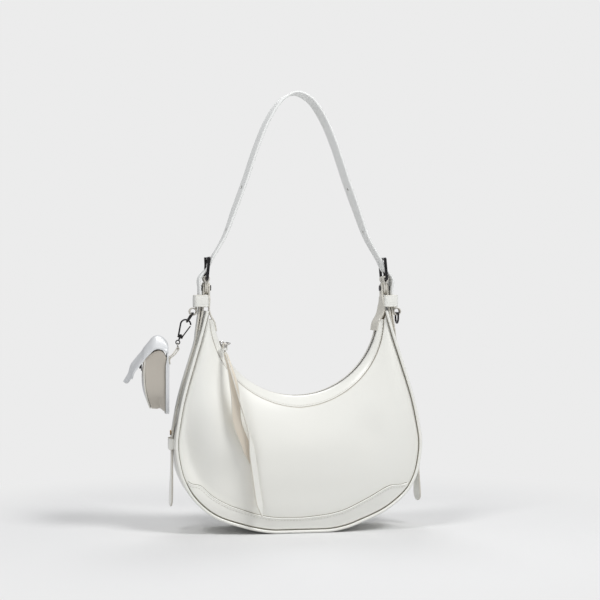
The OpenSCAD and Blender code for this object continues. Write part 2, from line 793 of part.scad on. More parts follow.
// Leather loop under the keeper's outer end that carries the dee ring
loop_x = keeper_x + keeper_in_x + loop_r - loop_t / 3;
loop_z = keeper_low_z - loop_r - loop_t - run_gap;
loop_w = 8;
module ring_loop() {
    color("tan")
        difference() {
            union() {
                translate([loop_x, 0, loop_z])
                    y_rod(loop_r + loop_t, loop_w);
                translate([keeper_x + keeper_in_x - loop_t - stack_gap, -loop_w / 2, loop_z])
                    cube([loop_t, loop_w, keeper_h * 0.75 + keeper_low_z - loop_z]);
            }
            translate([loop_x, 0, loop_z])
                y_rod(loop_r, loop_w + 2 * overrun);
        }
}

// Side belts, their keepers, studs and hanging tails

function outline_x_low(z) =
    let (hits = [for (c = [half_cols / 3 : 0.25 : half_cols]) if (outer_at(c)[1] >= z) outer_at(c)[0]])
    hits[0];
belt_lift = 2 * stack_gap + belt_t / 2;
belt_low_z = belt_keeper_z + 0.2 * belt_keeper_h;
belt_keeper_x = outline_x_low(belt_keeper_z + belt_keeper_h / 2) + stack_gap + belt_t / 2;
belt_top_x = outer_ear_x + tab_t + 4 * stack_gap + belt_t / 2;
belt_top_drop = 3.2;
belt_cols = [
    for (c = [half_cols : -1 : 0])
        if (outer_at(c)[1] > belt_low_z && outer_at(c)[1] < 0.86 * body_h) c
];
belt_path = concat(
    [
        [belt_top_x - stack_gap, keeper_top_z - belt_top_drop],
        [belt_top_x, keeper_low_z - stack_gap],
        [outline_x(outer_tab_low_z) + tab_t + 3 * stack_gap + belt_t / 2, outer_tab_low_z]
    ],
    [for (c = belt_cols) outer_at(c) + out_dir(c) * belt_lift],
    [[belt_keeper_x, belt_low_z]]
);
function belt_x(z) =
    let (
        hits = [for (i = [1 : len(belt_path) - 1]) if (belt_path[i][1] <= z) i],
        a = belt_path[hits[0] - 1],
        b = belt_path[hits[0]]
    )
    mix(a[0], b[0], (z - a[1]) / (b[1] - a[1]));
module side_belt() {
    color("white")
        difference() {
            band(belt_path, belt_t, belt_w);
            translate([belt_x(stud_z), 0, stud_z])
                x_rod(stud_shaft_r + pin_gap, 4 * belt_t);
        }
}
// Stud with its shaft through the belt and its cap on it
stud_z = belt_keeper_z + belt_keeper_h + 2 * stud_r;
stud_shaft_r = 0.45 * stud_r;
stud_cap_t = 1;
stud_seat = 0.45;
module belt_studs() {
    color("peru")
        for (s = [-1, 1])
            on_side(s)
                translate([belt_x(stud_z), 0, stud_z]) {
                    translate([(stud_seat + stud_cap_t) / 2, 0, 0])
                        x_rod(stud_shaft_r, belt_t + stud_seat + stud_cap_t);
                    translate([belt_t / 2 + stud_seat + stud_cap_t / 2, 0, 0])
                        x_rod(stud_r, stud_cap_t);
                }
}
belt_play = 1;
module belt_keeper() {
    in_y = belt_w + belt_play;
    out_x = belt_keeper_x + belt_t / 2 + belt_play;
    low_x = belt_keeper_x - belt_t / 2;
    color("whitesmoke")
        translate([0, 0, belt_keeper_z])
            linear_extrude(belt_keeper_h)
                difference() {
                    translate([low_x, -in_y / 2 - keeper_t])
                        rounded_rect(out_x - low_x + keeper_t, in_y + 2 * keeper_t, keeper_t);
                    translate([low_x - keeper_t, -in_y / 2])
                        rounded_rect(out_x - low_x + keeper_t, in_y, 0.5 * keeper_t);
                }
}
// Hanging tail, wider towards its round end, which bends under the keeper
tail_bend_r = 0.55 * belt_t;
tail_pivot_z = belt_keeper_z - tail_bend_r - run_gap;
module belt_tail() {
    end_r = belt_w * 0.62;
    root = 0.42 * belt_w;
    color("white")
        translate([belt_keeper_x, 0, tail_pivot_z]) {
            y_rod(tail_bend_r, 2 * root);
            rotate([90, 0, 90])
                linear_extrude(belt_t, center = true)
                    union() {
                        polygon([
                            [-root, 0], [root, 0],
                            [end_r, end_r - belt_tail_l], [-end_r, end_r - belt_tail_l]
                        ]);
                        translate([0, end_r - belt_tail_l])
                            circle(r = end_r);
                    }
        }
}

// Dee rings, hanging from their straight bar in the leather loops

dee_play = 0.4;
dee_x = loop_x + dee_play;
dee_z = loop_z - sqrt(pow(loop_r - dee_wire_r - pin_gap, 2) - pow(dee_play, 2));
module dee_ring_here() {
    color("dimgray") {
        y_rod(dee_wire_r, dee_w);
        for (s = [-1, 1])
            translate([0, s * dee_w / 2, 0]) {
                sphere(r = dee_wire_r, $fn = 24);
                translate([0, 0, -dee_side])
                    cylinder(r = dee_wire_r, h = dee_side, $fn = 24);
            }
        translate([0, 0, -dee_side])
            rotate([90, 0, 90])
                rotate([0, 0, 180])
                    rotate_extrude(angle = 180, $fn = 48)
                        translate([dee_w / 2, 0])
                            circle(r = dee_wire_r, $fn = 24);
    }
}
module left_dee_ring() {
    translate([-dee_x, 0, dee_z])
        rotate([0, dee_lean, 0])
            dee_ring_here();
}
module right_dee_ring() {
    translate([dee_x, 0, dee_z])
        dee_ring_here();
}

// Buckle tabs, buckles, prongs and the shoulder strap

bar_r = buckle_wire_r;
bar_z = pivot_z + ear_r + run_gap + bar_r + tab_t + stack_gap;
buckle_play = 1;
buckle_in_w = strap_w + buckle_play;
buckle_lean = 5;
top_bar_x = tab_x - buckle_h * sin(buckle_lean);
top_bar_z = bar_z + buckle_h * cos(buckle_lean);
prong_ring_r = bar_r + pin_gap + 1.2 * prong_r;
slot_w = 2.3 * prong_r + 4 * stack_gap;
module buckle_tab() {
    loop_out = bar_r + pin_gap + tab_t;
    slot_low = prong_ring_r + run_gap;
    color("whitesmoke")
        difference() {
            union() {
                translate([tab_x, 0, bar_z])
                    y_rod(loop_out, tab_w);
                intersection() {
                    translate([tab_x, 0, (pivot_z + bar_z) / 2])
                        cube([2 * tab_t, tab_w, bar_z - pivot_z + 2 * tab_w], center = true);
                    union() {
                        translate([tab_x, 0, pivot_z])
                            x_rod(tab_end_r, 2 * tab_w);
                        translate([tab_x - tab_w, -tab_end_r, pivot_z])
                            cube([2 * tab_w, 2 * tab_end_r, bar_z - pivot_z]);
                    }
                }
            }
            translate([tab_x, 0, bar_z])
                y_rod(bar_r + pin_gap, tab_w + 2 * overrun);
            translate([tab_x - 2 * loop_out, -slot_w / 2, bar_z - slot_low])
                cube([4 * loop_out, slot_w, 2 * loop_out + slot_low]);
            translate([tab_x, 0, pivot_z])
                x_rod(rivet_r + pin_gap, 2 * tab_w);
        }
}
module buckle_frame() {
    side_y = buckle_in_w / 2 + bar_r;
    color("dimgray")
        translate([tab_x, 0, bar_z])
            rotate([0, -buckle_lean, 0]) {
                y_rod(bar_r, 2 * side_y);
                translate([0, 0, buckle_h])
                    y_rod(bar_r, 2 * side_y);
                for (s = [-1, 1])
                    translate([0, s * side_y, 0]) {
                        cylinder(r = bar_r, h = buckle_h, $fn = 24);
                        sphere(r = bar_r, $fn = 24);
                        translate([0, 0, buckle_h])
                            sphere(r = bar_r, $fn = 24);
                    }
            }
}
// The prong turns on the lower bar, passes through the strap and rests outside the top bar
prong_tip = [top_bar_x + bar_r + prong_r + run_gap, top_bar_z + prong_r];
prong_root = [tab_x + 0.2 * prong_r, bar_z + prong_ring_r - 0.6 * prong_r];
prong_dir = prong_tip - prong_root;
module prong() {
    color("gray")
        difference() {
            union() {
                translate([tab_x, 0, bar_z])
                    y_rod(prong_ring_r, 2.3 * prong_r);
                translate([prong_root[0], 0, prong_root[1]])
                    rotate([0, atan2(prong_dir[0], prong_dir[1]), 0])
                        cylinder(r = prong_r, h = norm(prong_dir), $fn = 24);
            }
            translate([tab_x, 0, bar_z])
                y_rod(bar_r + pin_gap, 4 * prong_r);
        }
}
strap_in_x = top_bar_x - bar_r - strap_t / 2 - 5 * stack_gap;
strap_tail_x = outer_ear_x + tab_t / 2 + rivet_head_t + 2 * stack_gap + run_gap + strap_t / 2;
strap_leg = concat(
    [for (p = strap_shares) [p[0] * strap_in_x, mix(top_bar_z, strap_top_z, p[1])]],
    [
        [strap_in_x, top_bar_z],
        [tab_x - strap_t / 3, mix(bar_z, top_bar_z, 0.5)],
        [strap_tail_x, bar_z + strap_t / 5],
        [strap_tail_x, pivot_z],
        [strap_tail_x, pivot_z - tab_end_r]
    ]
);
strap_half_path = smooth_path(strap_leg, 48);
strap_path = concat(
    [for (i = [len(strap_half_path) - 1 : -1 : 1]) [-strap_half_path[i][0], strap_half_path[i][1]]],
    strap_half_path
);
hole_lean = 22;
module strap_hole(x, z) {
    translate([x, 0, z])
        rotate([0, hole_lean, 0])
            x_rod(hole_r, 4 * strap_t);
}
// Place along the strap's leg that lies d above the middle of the buckle
function leg_spot(d) =
    let (
        z = mix(bar_z, top_bar_z, 0.5) + d,
        hits = [for (i = [0 : len(strap_half_path) - 1]) if (strap_half_path[i][1] <= z) i],
        k = hits[0]
    )
    mix(strap_half_path[k], strap_half_path[k - 1],
        (z - strap_half_path[k][1]) / (strap_half_path[k - 1][1] - strap_half_path[k][1]));
module shoulder_strap() {
    color("whitesmoke")
        difference() {
            band(strap_path, strap_t, strap_w);
            for (s = [-1, 1])
                on_side(s) {
                    for (k = [1, 2]) {
                        p = leg_spot(hole_pitch * k);
                        strap_hole(p[0], p[1]);
                    }
                    // Slot for the prong
                    translate([tab_x, 0, mix(bar_z, top_bar_z, 0.5)])
                        cube([4 * strap_t, slot_w, 0.8 * buckle_h], center = true);
                    // Tails end round, level with the keepers
                    strap_tail_trim();
                }
        }
}
module strap_tail_trim() {
    cut = strap_w + 2 * overrun;
    translate([strap_tail_x, 0, pivot_z])
        difference() {
            translate([0, 0, -cut / 2])
                cube([2 * strap_t, cut, cut], center = true);
            x_rod(tab_end_r, 3 * strap_t);
        }
}

// Snap hook, hanging from the left dee ring

ring_play = 0.1;
dee_reach = dee_side + dee_w / 2;
dee_low = [-dee_x - dee_reach * sin(dee_lean), dee_z - dee_reach * cos(dee_lean)];
hook_touch = dee_wire_r + hook_wire_r + ring_play;
hook_dir = [-sin(hook_lean), -cos(hook_lean)];
hook_top = dee_low - hook_dir * hook_touch;
// Local frame of the hook: its round end's centre at the origin, the base below
module hook_place() {
    translate([hook_top[0] + hook_dir[0] * hook_r, 0, hook_top[1] + hook_dir[1] * hook_r])
        rotate([0, hook_lean, 0])
            children();
}
gate_angle = 20;
base_half = 2.9;
base_rise = 2;
base_drop = 1.4;
side_foot = [-0.72 * base_half, -hook_l];
side_angle = asin((hook_r + side_foot[0]) / hook_l) + 4;
side_end = [-hook_r * cos(side_angle), -hook_r * sin(side_angle)];
swivel_r = 0.8;
swivel_head_r = 1.1;
swivel_head_t = 0.5;
swivel_seat = 0.15;
gate_r = 0.65;
gate_pin_r = 0.4;
gate_ring_t = 0.4;
gate_slot_h = 3.2;
gate_pin = [0.7 * base_half, -hook_l + base_rise / 2];
gate_top = [
    hook_r * cos(gate_angle) + hook_wire_r / 4,
    hook_r * sin(gate_angle) - hook_wire_r - stack_gap
];
module hook_wire(a, b, r) {
    d = b - a;
    translate([a[0], 0, a[1]])
        rotate([0, atan2(d[0], d[1]), 0])
            cylinder(r = r, h = norm(d), $fn = 20);
}
module hook_frame() {
    slot_y = 2 * hook_wire_r + 2 * run_gap;
    color("dimgray")
        hook_place() {
            rotate([90, 0, 0])
                rotate([0, 0, gate_angle])
                    rotate_extrude(angle = 180 + side_angle - gate_angle, $fn = 64)
                        translate([hook_r, 0])
                            circle(r = hook_wire_r, $fn = 20);
            hook_wire(side_end, side_foot, hook_wire_r);
            difference() {
                translate([0, 0, -hook_l - base_drop])
                    cylinder(r = base_half, h = base_rise + base_drop, $fn = 32);
                translate([swivel_r / 2, -slot_y / 2, gate_pin[1] - gate_slot_h / 2])
                    cube([2 * base_half, slot_y, gate_slot_h]);
                translate([0, 0, -hook_l - base_drop - overrun])
                    cylinder(r = swivel_r + pin_gap, h = base_rise + base_drop + 2 * overrun, $fn = 32);
            }
            translate([gate_pin[0], 0, gate_pin[1]])
                y_rod(gate_pin_r, slot_y + base_half / 3);
        }
}
module hook_gate() {
    color("gray")
        hook_place()
            difference() {
                union() {
                    hook_wire(gate_pin, gate_top, gate_r);
                    translate([gate_pin[0], 0, gate_pin[1]])
                        y_rod(gate_pin_r + gate_ring_t, 2 * hook_wire_r);
                }
                translate([gate_pin[0], 0, gate_pin[1]])
                    y_rod(gate_pin_r + pin_gap, 4 * hook_wire_r);
            }
}
// The swivel's post turns in the base and ends in an eye
eye_r = 2;
eye_wire_r = 0.6;
eye_drop = 6.2;
module hook_swivel() {
    post_top = base_rise + swivel_seat + swivel_head_t;
    color("dimgray")
        hook_place()
            translate([0, 0, -hook_l]) {
                translate([0, 0, eye_r - eye_drop])
                    cylinder(r = swivel_r, h = eye_drop - eye_r + post_top, $fn = 24);
                translate([0, 0, post_top - swivel_head_t])
                    cylinder(r = swivel_head_r, h = swivel_head_t, $fn = 24);
                translate([0, 0, -base_drop - run_gap - swivel_head_t])
                    cylinder(r = 1.5 * swivel_r, h = swivel_head_t, $fn = 24);
                translate([0, 0, -eye_drop])
                    rotate([90, 0, 0])
                        rotate_extrude($fn = 48)
                            translate([eye_r, 0])
                                circle(r = eye_wire_r, $fn = 16);
            }
}
eye_reach = hook_r + hook_l + eye_drop;
eye_at = hook_top + hook_dir * eye_reach;
// Small link between the swivel's eye and the pouch's tab
link_r = 3.2;
link_wire_r = 0.6;
link_at = eye_at - [0, eye_r - eye_wire_r - link_wire_r - ring_play + link_r];
module pouch_link() {
    color("gray")
        translate([link_at[0], 0, link_at[1]])
            rotate([90, 0, 90])
                rotate_extrude($fn = 48)
                    translate([link_r, 0])
                        circle(r = link_wire_r, $fn = 16);
}

// Pouch, built in its own frame: back at x = 0, front towards +x, top of the back at z = 0

module pouch_place() {
    translate([-pouch_x, 0, pouch_top_z])
        rotate([0, 0, 180 + pouch_turn])
            children();
}
// Folded strip round the link at its top, sewn to the pouch's back at its foot
strip_t = 1.2;
strip_w = 9;
strip_loop_w = 3;
strip_foot_drop = 17;
strip_foot_h = 8;
wire_rise = link_r - sqrt(pow(link_r, 2) - pow(strip_loop_w / 2, 2));
strip_hole_r = link_wire_r + wire_rise / 2 + ring_play;
tab_at = [link_at[0], link_at[1] - link_r + wire_rise / 2];
module pouch_tab() {
    out_r = strip_hole_r + strip_t;
    foot = [-pouch_x + 2 * stack_gap, pouch_top_z - strip_foot_drop];
    top_z = foot[1] + strip_foot_h;
    color("tan")
        difference() {
            union() {
                translate([tab_at[0], 0, tab_at[1]])
                    y_rod(out_r, strip_loop_w);
                rotate([90, 0, 0])
                    linear_extrude(strip_loop_w, center = true)
                        polygon([
                            [tab_at[0] - 0.9 * out_r, tab_at[1]],
                            [tab_at[0] + 0.9 * out_r, tab_at[1]],
                            [foot[0] + 0.9 * strip_t, top_z - strip_t],
                            [foot[0] + 0.1 * strip_t, top_z - strip_t]
                        ]);
                translate([foot[0], -strip_w / 2, foot[1]])
                    cube([strip_t, strip_w, strip_foot_h]);
            }
            translate([tab_at[0], 0, tab_at[1]])
                y_rod(strip_hole_r, strip_loop_w + 2 * overrun);
        }
}

pouch_round = 0.55;
pouch_foot_power = 0.75;
pouch_straight_share = 0.38;
pouch_mouth_share = 0.9;
// Half width of the pouch at height z below its top
function pouch_half(z) =
    let (f = max(0, (-z / pouch_h - pouch_straight_share) / (1 - pouch_straight_share)))
    pouch_w / 2 * pow(max(0, 1 - pow(f, 2 / pouch_foot_power)), pouch_round / 2);
function pouch_front_x(z) =
    let (f = -z / pouch_h)
    pouch_depth * (pouch_mouth_share + 0.42 * f - 0.62 * f * f);
// Rim of the pouch from its right shoulder round the bottom to its left shoulder
rim_n = 24;
function rim_at(k) =
    let (
        a = 180 * k / rim_n,
        y = pouch_w / 2 * side_sign(cos(a)) * pow(abs(cos(a)), pouch_round),
        low = pouch_straight_share + (1 - pouch_straight_share) * pow(abs(sin(a)), pouch_foot_power)
    )
    [y, -low * pouch_h];
shoulder_drop = 9;
rim_path = concat(
    [[pouch_w / 2, -shoulder_drop]],
    [for (k = [0 : rim_n]) rim_at(k)],
    [[-pouch_w / 2, -shoulder_drop]]
);
function rim_in(i) = side_of(path_dir(rim_path, i));
module pouch_back() {
    n = 12;
    top = [
        for (k = [1 : n - 1])
            let (a = 180 * k / n, y = -pouch_w / 2 * side_sign(cos(a)) * pow(abs(cos(a)), 0.45))
            [y, shoulder_drop * (pow(sin(a), 0.45) - 1)]
    ];
    color("white")
        pouch_place()
            rotate([90, 0, 90])
                linear_extrude(pouch_t)
                    polygon(concat(rim_path, top));
}
// Upper ends of the gusset, which arch up under the flap, as shares of the depth and of ear_rise
ear_rise = 7;
ear_shares = [[0, 0], [0.2, 0.8], [0.45, 1], [0.75, 0.5], [1, 0]];
module pouch_gusset() {
    last = len(rim_path) - 1;
    function rim_point(i, e, depth) =
        let (
            p = rim_path[i] + rim_in(i) * (stack_gap + depth),
            rise = i == 0 || i == last ? e[1] * ear_rise : 0
        )
        [mix(pouch_t + seat_gap, pouch_front_x(rim_path[i][1]), e[0]), p[0], p[1] + rise];
    color("antiquewhite")
        pouch_place()
            skin(
                [for (i = [0 : last]) [for (e = ear_shares) rim_point(i, e, 0)]],
                [for (i = [0 : last]) [for (e = ear_shares) rim_point(i, e, pouch_t)]]
            );
}
front_low_share = 0.985;
front_swell = 2.2;
function front_top_z() = -shoulder_drop - pouch_t;
function front_skin_x(z, s) =
    let (t = (z - front_top_z()) / (-pouch_h * front_low_share - front_top_z()))
    pouch_front_x(z) + seat_gap + pouch_t + front_swell * (1 - s * s) * sin(180 * t);
module pouch_front() {
    rows = 8;
    cols = 6;
    function front_point(j, i, depth) =
        let (
            z = mix(front_top_z(), -pouch_h * front_low_share, pow(j / rows, 0.8)),
            s = i / cols
        )
        [front_skin_x(z, s) - depth, pouch_half(z) * s, z];
    color("white")
        pouch_place()
            skin(
                [for (j = [0 : rows]) [for (i = [-cols : cols]) front_point(j, i, 0)]],
                [for (j = [0 : rows]) [for (i = [-cols : cols]) front_point(j, i, pouch_t)]]
            );
}
pouch_piping_r = 0.9;
module pouch_piping() {
    n = len(rim_path);
    path = [
        for (i = [0 : n - 1])
            let (p = rim_path[i] - rim_in(i) * (pouch_piping_r + ring_play))
            [pouch_t / 2, p[0], p[1]]
    ];
    color("white")
        pouch_place()
            tube(
                path,
                [for (i = [0 : n - 1]) [0, rim_in(i)[0], rim_in(i)[1]]],
                [for (i = [0 : n - 1]) [1, 0, 0]],
                pouch_piping_r
            );
}

// Flap: it folds at the top edge of the pouch's back, arches over and narrows to a tongue
flap_z0 = run_gap;
flap_n = 16;
flap_cols = 4;
flap_width_shares = [0.84, 0.98, 1.03, 1.03, 0.99, 0.84];
flap_lip_share = 0.16;
flap_end_droop_share = 0.2;
function flap_mid(f) =
    let (p = smooth_at(flap_shares, f * (len(flap_shares) - 1)))
    [p[0] * (pouch_depth + flap_overhang), flap_z0 + (p[1] > 0 ? p[1] * (flap_rise - flap_z0) : p[1] * flap_fall)];
function flap_normal(f) =
    let (d = unit(flap_mid(min(1, f + 0.02)) - flap_mid(max(0, f - 0.02))))
    [-d[1], d[0]];
function flap_half_w(f) =
    pouch_w / 2 * smooth_at(flap_width_shares, f * (len(flap_width_shares) - 1));
function flap_point(f, s, depth) =
    let (
        fade = mix(1, flap_end_droop_share, ease((f - 0.5) / 0.5)),
        droop = flap_droop * fade * pow(abs(s), 2.4) * ease((f - flap_lip_share) / 0.3),
        q = flap_mid(f) - flap_normal(f) * depth - [0, droop]
    )
    [q[0], s * flap_half_w(f), q[1]];
tongue_w = 20;
tongue_n = 5;
tongue_shares = [0.08, 0.2, 0.62, 0.84, 0.96, 1];
tongue_width_shares = [0.62, 0.52, 0.5, 0.42, 0.28, 0.12];
// Rows of the tongue, the far end of the flap carried on straight
function tongue_point(k, s, depth) =
    let (
        half_w = tongue_w * tongue_width_shares[k],
        m = flap_mid(1) + unit(flap_mid(1) - flap_mid(0.95)) * tongue_l * tongue_shares[k],
        droop = flap_droop * flap_end_droop_share * pow(abs(s) * half_w / flap_half_w(1), 2.4),
        q = m - flap_normal(1) * depth - [0, droop]
    )
    [q[0], s * half_w, q[1]];
function flap_side(depth) =
    concat(
        [for (k = [0 : flap_n]) [for (i = [-flap_cols : flap_cols])
            flap_point(k / flap_n, i / flap_cols, depth)]],
        [for (k = [0 : tongue_n]) [for (i = [-flap_cols : flap_cols])
            tongue_point(k, i / flap_cols, depth)]]
    );
module pouch_flap() {
    color("aliceblue")
        pouch_place()
            skin(flap_side(0), flap_side(pouch_t));
}
// Snap fastener: the stud on the pouch's front and the cap under the flap
snap_drop = 19;
snap_base_t = 0.9;
snap_post_h = 2.6;
module snap_stud() {
    color("silver")
        pouch_place()
            translate([front_skin_x(-snap_drop, 0) + 2 * stack_gap, 0, -snap_drop])
                rotate([0, 90, 0]) {
                    cylinder(r = snap_r, h = snap_base_t);
                    cylinder(r = snap_r * 0.5, h = snap_post_h);
                }
}
snap_cap_t = 2;
snap_seat = 0.7;
snap_floor_t = 0.6;
snap_place_share = 0.84;
module snap_cap() {
    m = flap_mid(snap_place_share);
    n = flap_normal(snap_place_share);
    color("dimgray")
        pouch_place()
            translate([m[0] - n[0] * (pouch_t + snap_seat), 0, m[1] - n[1] * (pouch_t + snap_seat)])
                rotate([0, atan2(n[0], n[1]), 0])
                    translate([0, 0, -snap_cap_t])
                        difference() {
                            cylinder(r = snap_r, h = snap_cap_t);
                            translate([0, 0, -overrun])
                                cylinder(r = snap_r * 0.55, h = snap_cap_t - snap_floor_t + overrun);
                        }
}

panel();  // front_panel
facing_rear() panel();  // rear_panel
side_gusset();
facing();  // front_facing
facing_rear() facing();  // rear_facing
piping();  // front_piping
facing_rear() piping();  // rear_piping
base_trim();  // front_base_trim
facing_rear() base_trim();  // rear_base_trim
lining();  // front_lining
facing_rear() lining();  // rear_lining
inner_pocket();
zip_tape();  // front_zip_tape
facing_rear() zip_tape();  // rear_zip_tape
zip_teeth(0.25);  // front_zip_teeth
facing_rear() zip_teeth(0.75);  // rear_zip_teeth
zip_stops();
on_side(-1) inner_tab();  // left_inner_tab
inner_tab();  // right_inner_tab
on_side(-1) outer_tab();  // left_outer_tab
outer_tab();  // right_outer_tab
on_side(-1) tip_keeper();  // left_tip_keeper
tip_keeper();  // right_tip_keeper
on_side(-1) rivet();  // left_rivet
rivet();  // right_rivet
on_side(-1) ring_loop();  // left_ring_loop
ring_loop();  // right_ring_loop
on_side(-1) side_belt();  // left_side_belt
side_belt();  // right_side_belt
on_side(-1) belt_keeper();  // left_belt_keeper
belt_keeper();  // right_belt_keeper
belt_studs();
on_side(-1) belt_tail();  // left_belt_tail
belt_tail();  // right_belt_tail
left_dee_ring();
right_dee_ring();
on_side(-1) buckle_tab();  // left_buckle_tab
buckle_tab();  // right_buckle_tab
on_side(-1) buckle_frame();  // left_buckle
buckle_frame();  // right_buckle
on_side(-1) prong();  // left_prong
prong();  // right_prong
shoulder_strap();
zip_slider();
pull_ring();
pull_knot();
pull_long_tail();
pull_short_tail();
hook_frame();
hook_gate();
hook_swivel();
pouch_link();
pouch_tab();
pouch_back();
pouch_front();
pouch_gusset();
pouch_piping();
pouch_flap();
snap_stud();
snap_cap();
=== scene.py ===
"""Looks of the half moon bag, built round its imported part.

Every leather and cloth piece is a fine surface computed from the bag's own
outline and section formulas. Sizes are in millimetres until a mesh is made.
The metal pieces stay as they were packed and take a finish.
"""

import logging
import math
from collections.abc import Callable
from dataclasses import dataclass, field
from enum import Enum

import bpy
import numpy as np
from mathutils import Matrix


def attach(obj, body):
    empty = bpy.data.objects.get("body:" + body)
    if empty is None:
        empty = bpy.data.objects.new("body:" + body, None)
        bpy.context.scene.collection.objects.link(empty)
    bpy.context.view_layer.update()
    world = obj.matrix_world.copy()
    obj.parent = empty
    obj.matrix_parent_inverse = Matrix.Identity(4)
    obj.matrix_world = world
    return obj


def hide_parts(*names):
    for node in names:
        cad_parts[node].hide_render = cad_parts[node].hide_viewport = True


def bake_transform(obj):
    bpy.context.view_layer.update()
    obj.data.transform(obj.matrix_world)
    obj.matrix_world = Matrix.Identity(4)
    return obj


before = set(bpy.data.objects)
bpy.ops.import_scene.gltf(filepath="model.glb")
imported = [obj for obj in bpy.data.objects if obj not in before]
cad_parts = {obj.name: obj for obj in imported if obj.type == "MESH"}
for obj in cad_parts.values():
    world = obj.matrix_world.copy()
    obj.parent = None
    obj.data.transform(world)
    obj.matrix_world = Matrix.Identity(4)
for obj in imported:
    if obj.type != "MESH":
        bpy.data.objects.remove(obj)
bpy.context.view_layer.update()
log = logging.getLogger("half_moon_bag")
MM = 0.001
LAST = 26  # the outermost column of the outline, at the right tip; the left tip is -LAST
COLUMNS = np.linspace(-LAST, LAST, 209)
ACROSS = np.array([0.0, 1.0, 0.0])
UP = np.array([0.0, 0.0, 1.0])
GRAINED = ("white", "edge", "back")


class Hand(Enum):
    """The wearer's side of the bag: the sign of X."""

    LEFT = -1
    RIGHT = 1


class Face(Enum):
    """The bag's two faces: the sign of Y."""

    FRONT = -1
    REAR = 1


class Mark(Enum):
    """The parts of a leather piece that take a finish of their own."""

    GRAIN = 0
    EDGE = 1
    BACK = 2


# Curves and vectors


def smooth_at(points: tuple | np.ndarray | list, q: np.ndarray | float) -> np.ndarray:
    """Point on a smooth curve through knots, by four neighbouring knots.

    Args:
        points: knots, one row each, or plain numbers.
        q: running number along the knots, of any shape.

    Returns:
        The curve's values, with the shape of q before the knots' own shape.
    """
    p = np.asarray(points, float)
    plain = p.ndim == 1
    p = p[:, None] if plain else p
    q = np.asarray(q, float)
    i = np.clip(np.floor(q).astype(int), 0, len(p) - 2)
    k = np.vstack([2 * p[0] - p[1], p, 2 * p[-1] - p[-2]])
    f = (q - i)[..., None]
    a, b, c, d = k[i], k[i + 1], k[i + 2], k[i + 3]
    out = 0.5 * (2 * b + (c - a) * f + (2 * a - 5 * b + 4 * c - d) * f**2 + (3 * b - a - 3 * c + d) * f**3)
    return out[..., 0] if plain else out


def smooth_path(knots: list | np.ndarray, count: int) -> np.ndarray:
    """Smooth path through knots.

    Args:
        knots: points, one row each.
        count: number of points wanted.

    Returns:
        The path's points, evenly spaced in the running number.
    """
    return smooth_at(knots, np.linspace(0, len(knots) - 1, count))


def ease(f: np.ndarray) -> np.ndarray:
    """Smooth step: 0 below 0, 1 above 1, and 3f squared less 2f cubed between.

    Args:
        f: numbers of any shape.

    Returns:
        The eased numbers.
    """
    g = np.clip(f, 0, 1)
    return g * g * (3 - 2 * g)


def mix(a: np.ndarray | float, b: np.ndarray | float, f: np.ndarray | float) -> np.ndarray | float:
    """Straight mix of a and b.

    Args:
        a: value at f = 0.
        b: value at f = 1.
        f: share of b.

    Returns:
        a + (b - a) f.
    """
    return a + (b - a) * f


def unit(v: np.ndarray) -> np.ndarray:
    """Vectors scaled to length one.

    Args:
        v: vectors along the last axis.

    Returns:
        The unit vectors.
    """
    v = np.asarray(v, float)
    return v / np.maximum(np.linalg.norm(v, axis=-1, keepdims=True), 1e-9)


def tangents(path: np.ndarray, closed: bool = False) -> np.ndarray:
    """Unit direction of a path at each of its points, from its two neighbours.

    Args:
        path: points, one row each.
        closed: whether the last point is followed by the first.

    Returns:
        One unit vector for each point.
    """
    if closed:
        return unit(np.roll(path, -1, 0) - np.roll(path, 1, 0))
    return unit(np.gradient(path, axis=0))


def evenly(path: np.ndarray, pitch: float, inset: float = 0.0) -> np.ndarray:
    """Places along a path at an even pitch.

    Args:
        path: points, one row each.
        pitch: distance between places.
        inset: length left free at each end.

    Returns:
        Running numbers along the path, one for each place.
    """
    run = np.concatenate([[0], np.cumsum(np.linalg.norm(np.diff(path, axis=0), axis=1))])
    count = max(2, int((run[-1] - 2 * inset) / pitch))
    return np.interp(np.linspace(inset, run[-1] - inset, count), run, np.arange(len(path)))


def at(rows: np.ndarray, q: np.ndarray) -> np.ndarray:
    """Values of rows at running numbers, straight between neighbours.

    Args:
        rows: one row for each whole number.
        q: running numbers.

    Returns:
        One row for each running number.
    """
    i = np.clip(np.floor(q).astype(int), 0, len(rows) - 2)
    f = (q - i)[:, None]
    return rows[i] * (1 - f) + rows[i + 1] * f


def flat_path(xz: np.ndarray, y: float = 0.0) -> np.ndarray:
    """Path in a plane across Y.

    Args:
        xz: rows of x and z.
        y: place of the plane.

    Returns:
        Rows of x, y and z.
    """
    xz = np.asarray(xz, float)
    return np.column_stack([xz[:, 0], np.full(len(xz), y), xz[:, 1]])


def arc(centre: tuple, radius: float, start: int, stop: int, count: int) -> np.ndarray:
    """Points of an arc in the plane of x and z, its angles counted from +x towards +z.

    Args:
        centre: x and z of the centre.
        radius: radius of the arc.
        start: first angle in degrees.
        stop: last angle in degrees.
        count: number of points.

    Returns:
        Rows of x and z.
    """
    a = np.radians(np.linspace(start, stop, count))
    return np.column_stack([centre[0] + radius * np.cos(a), centre[1] + radius * np.sin(a)])


# Closed surfaces


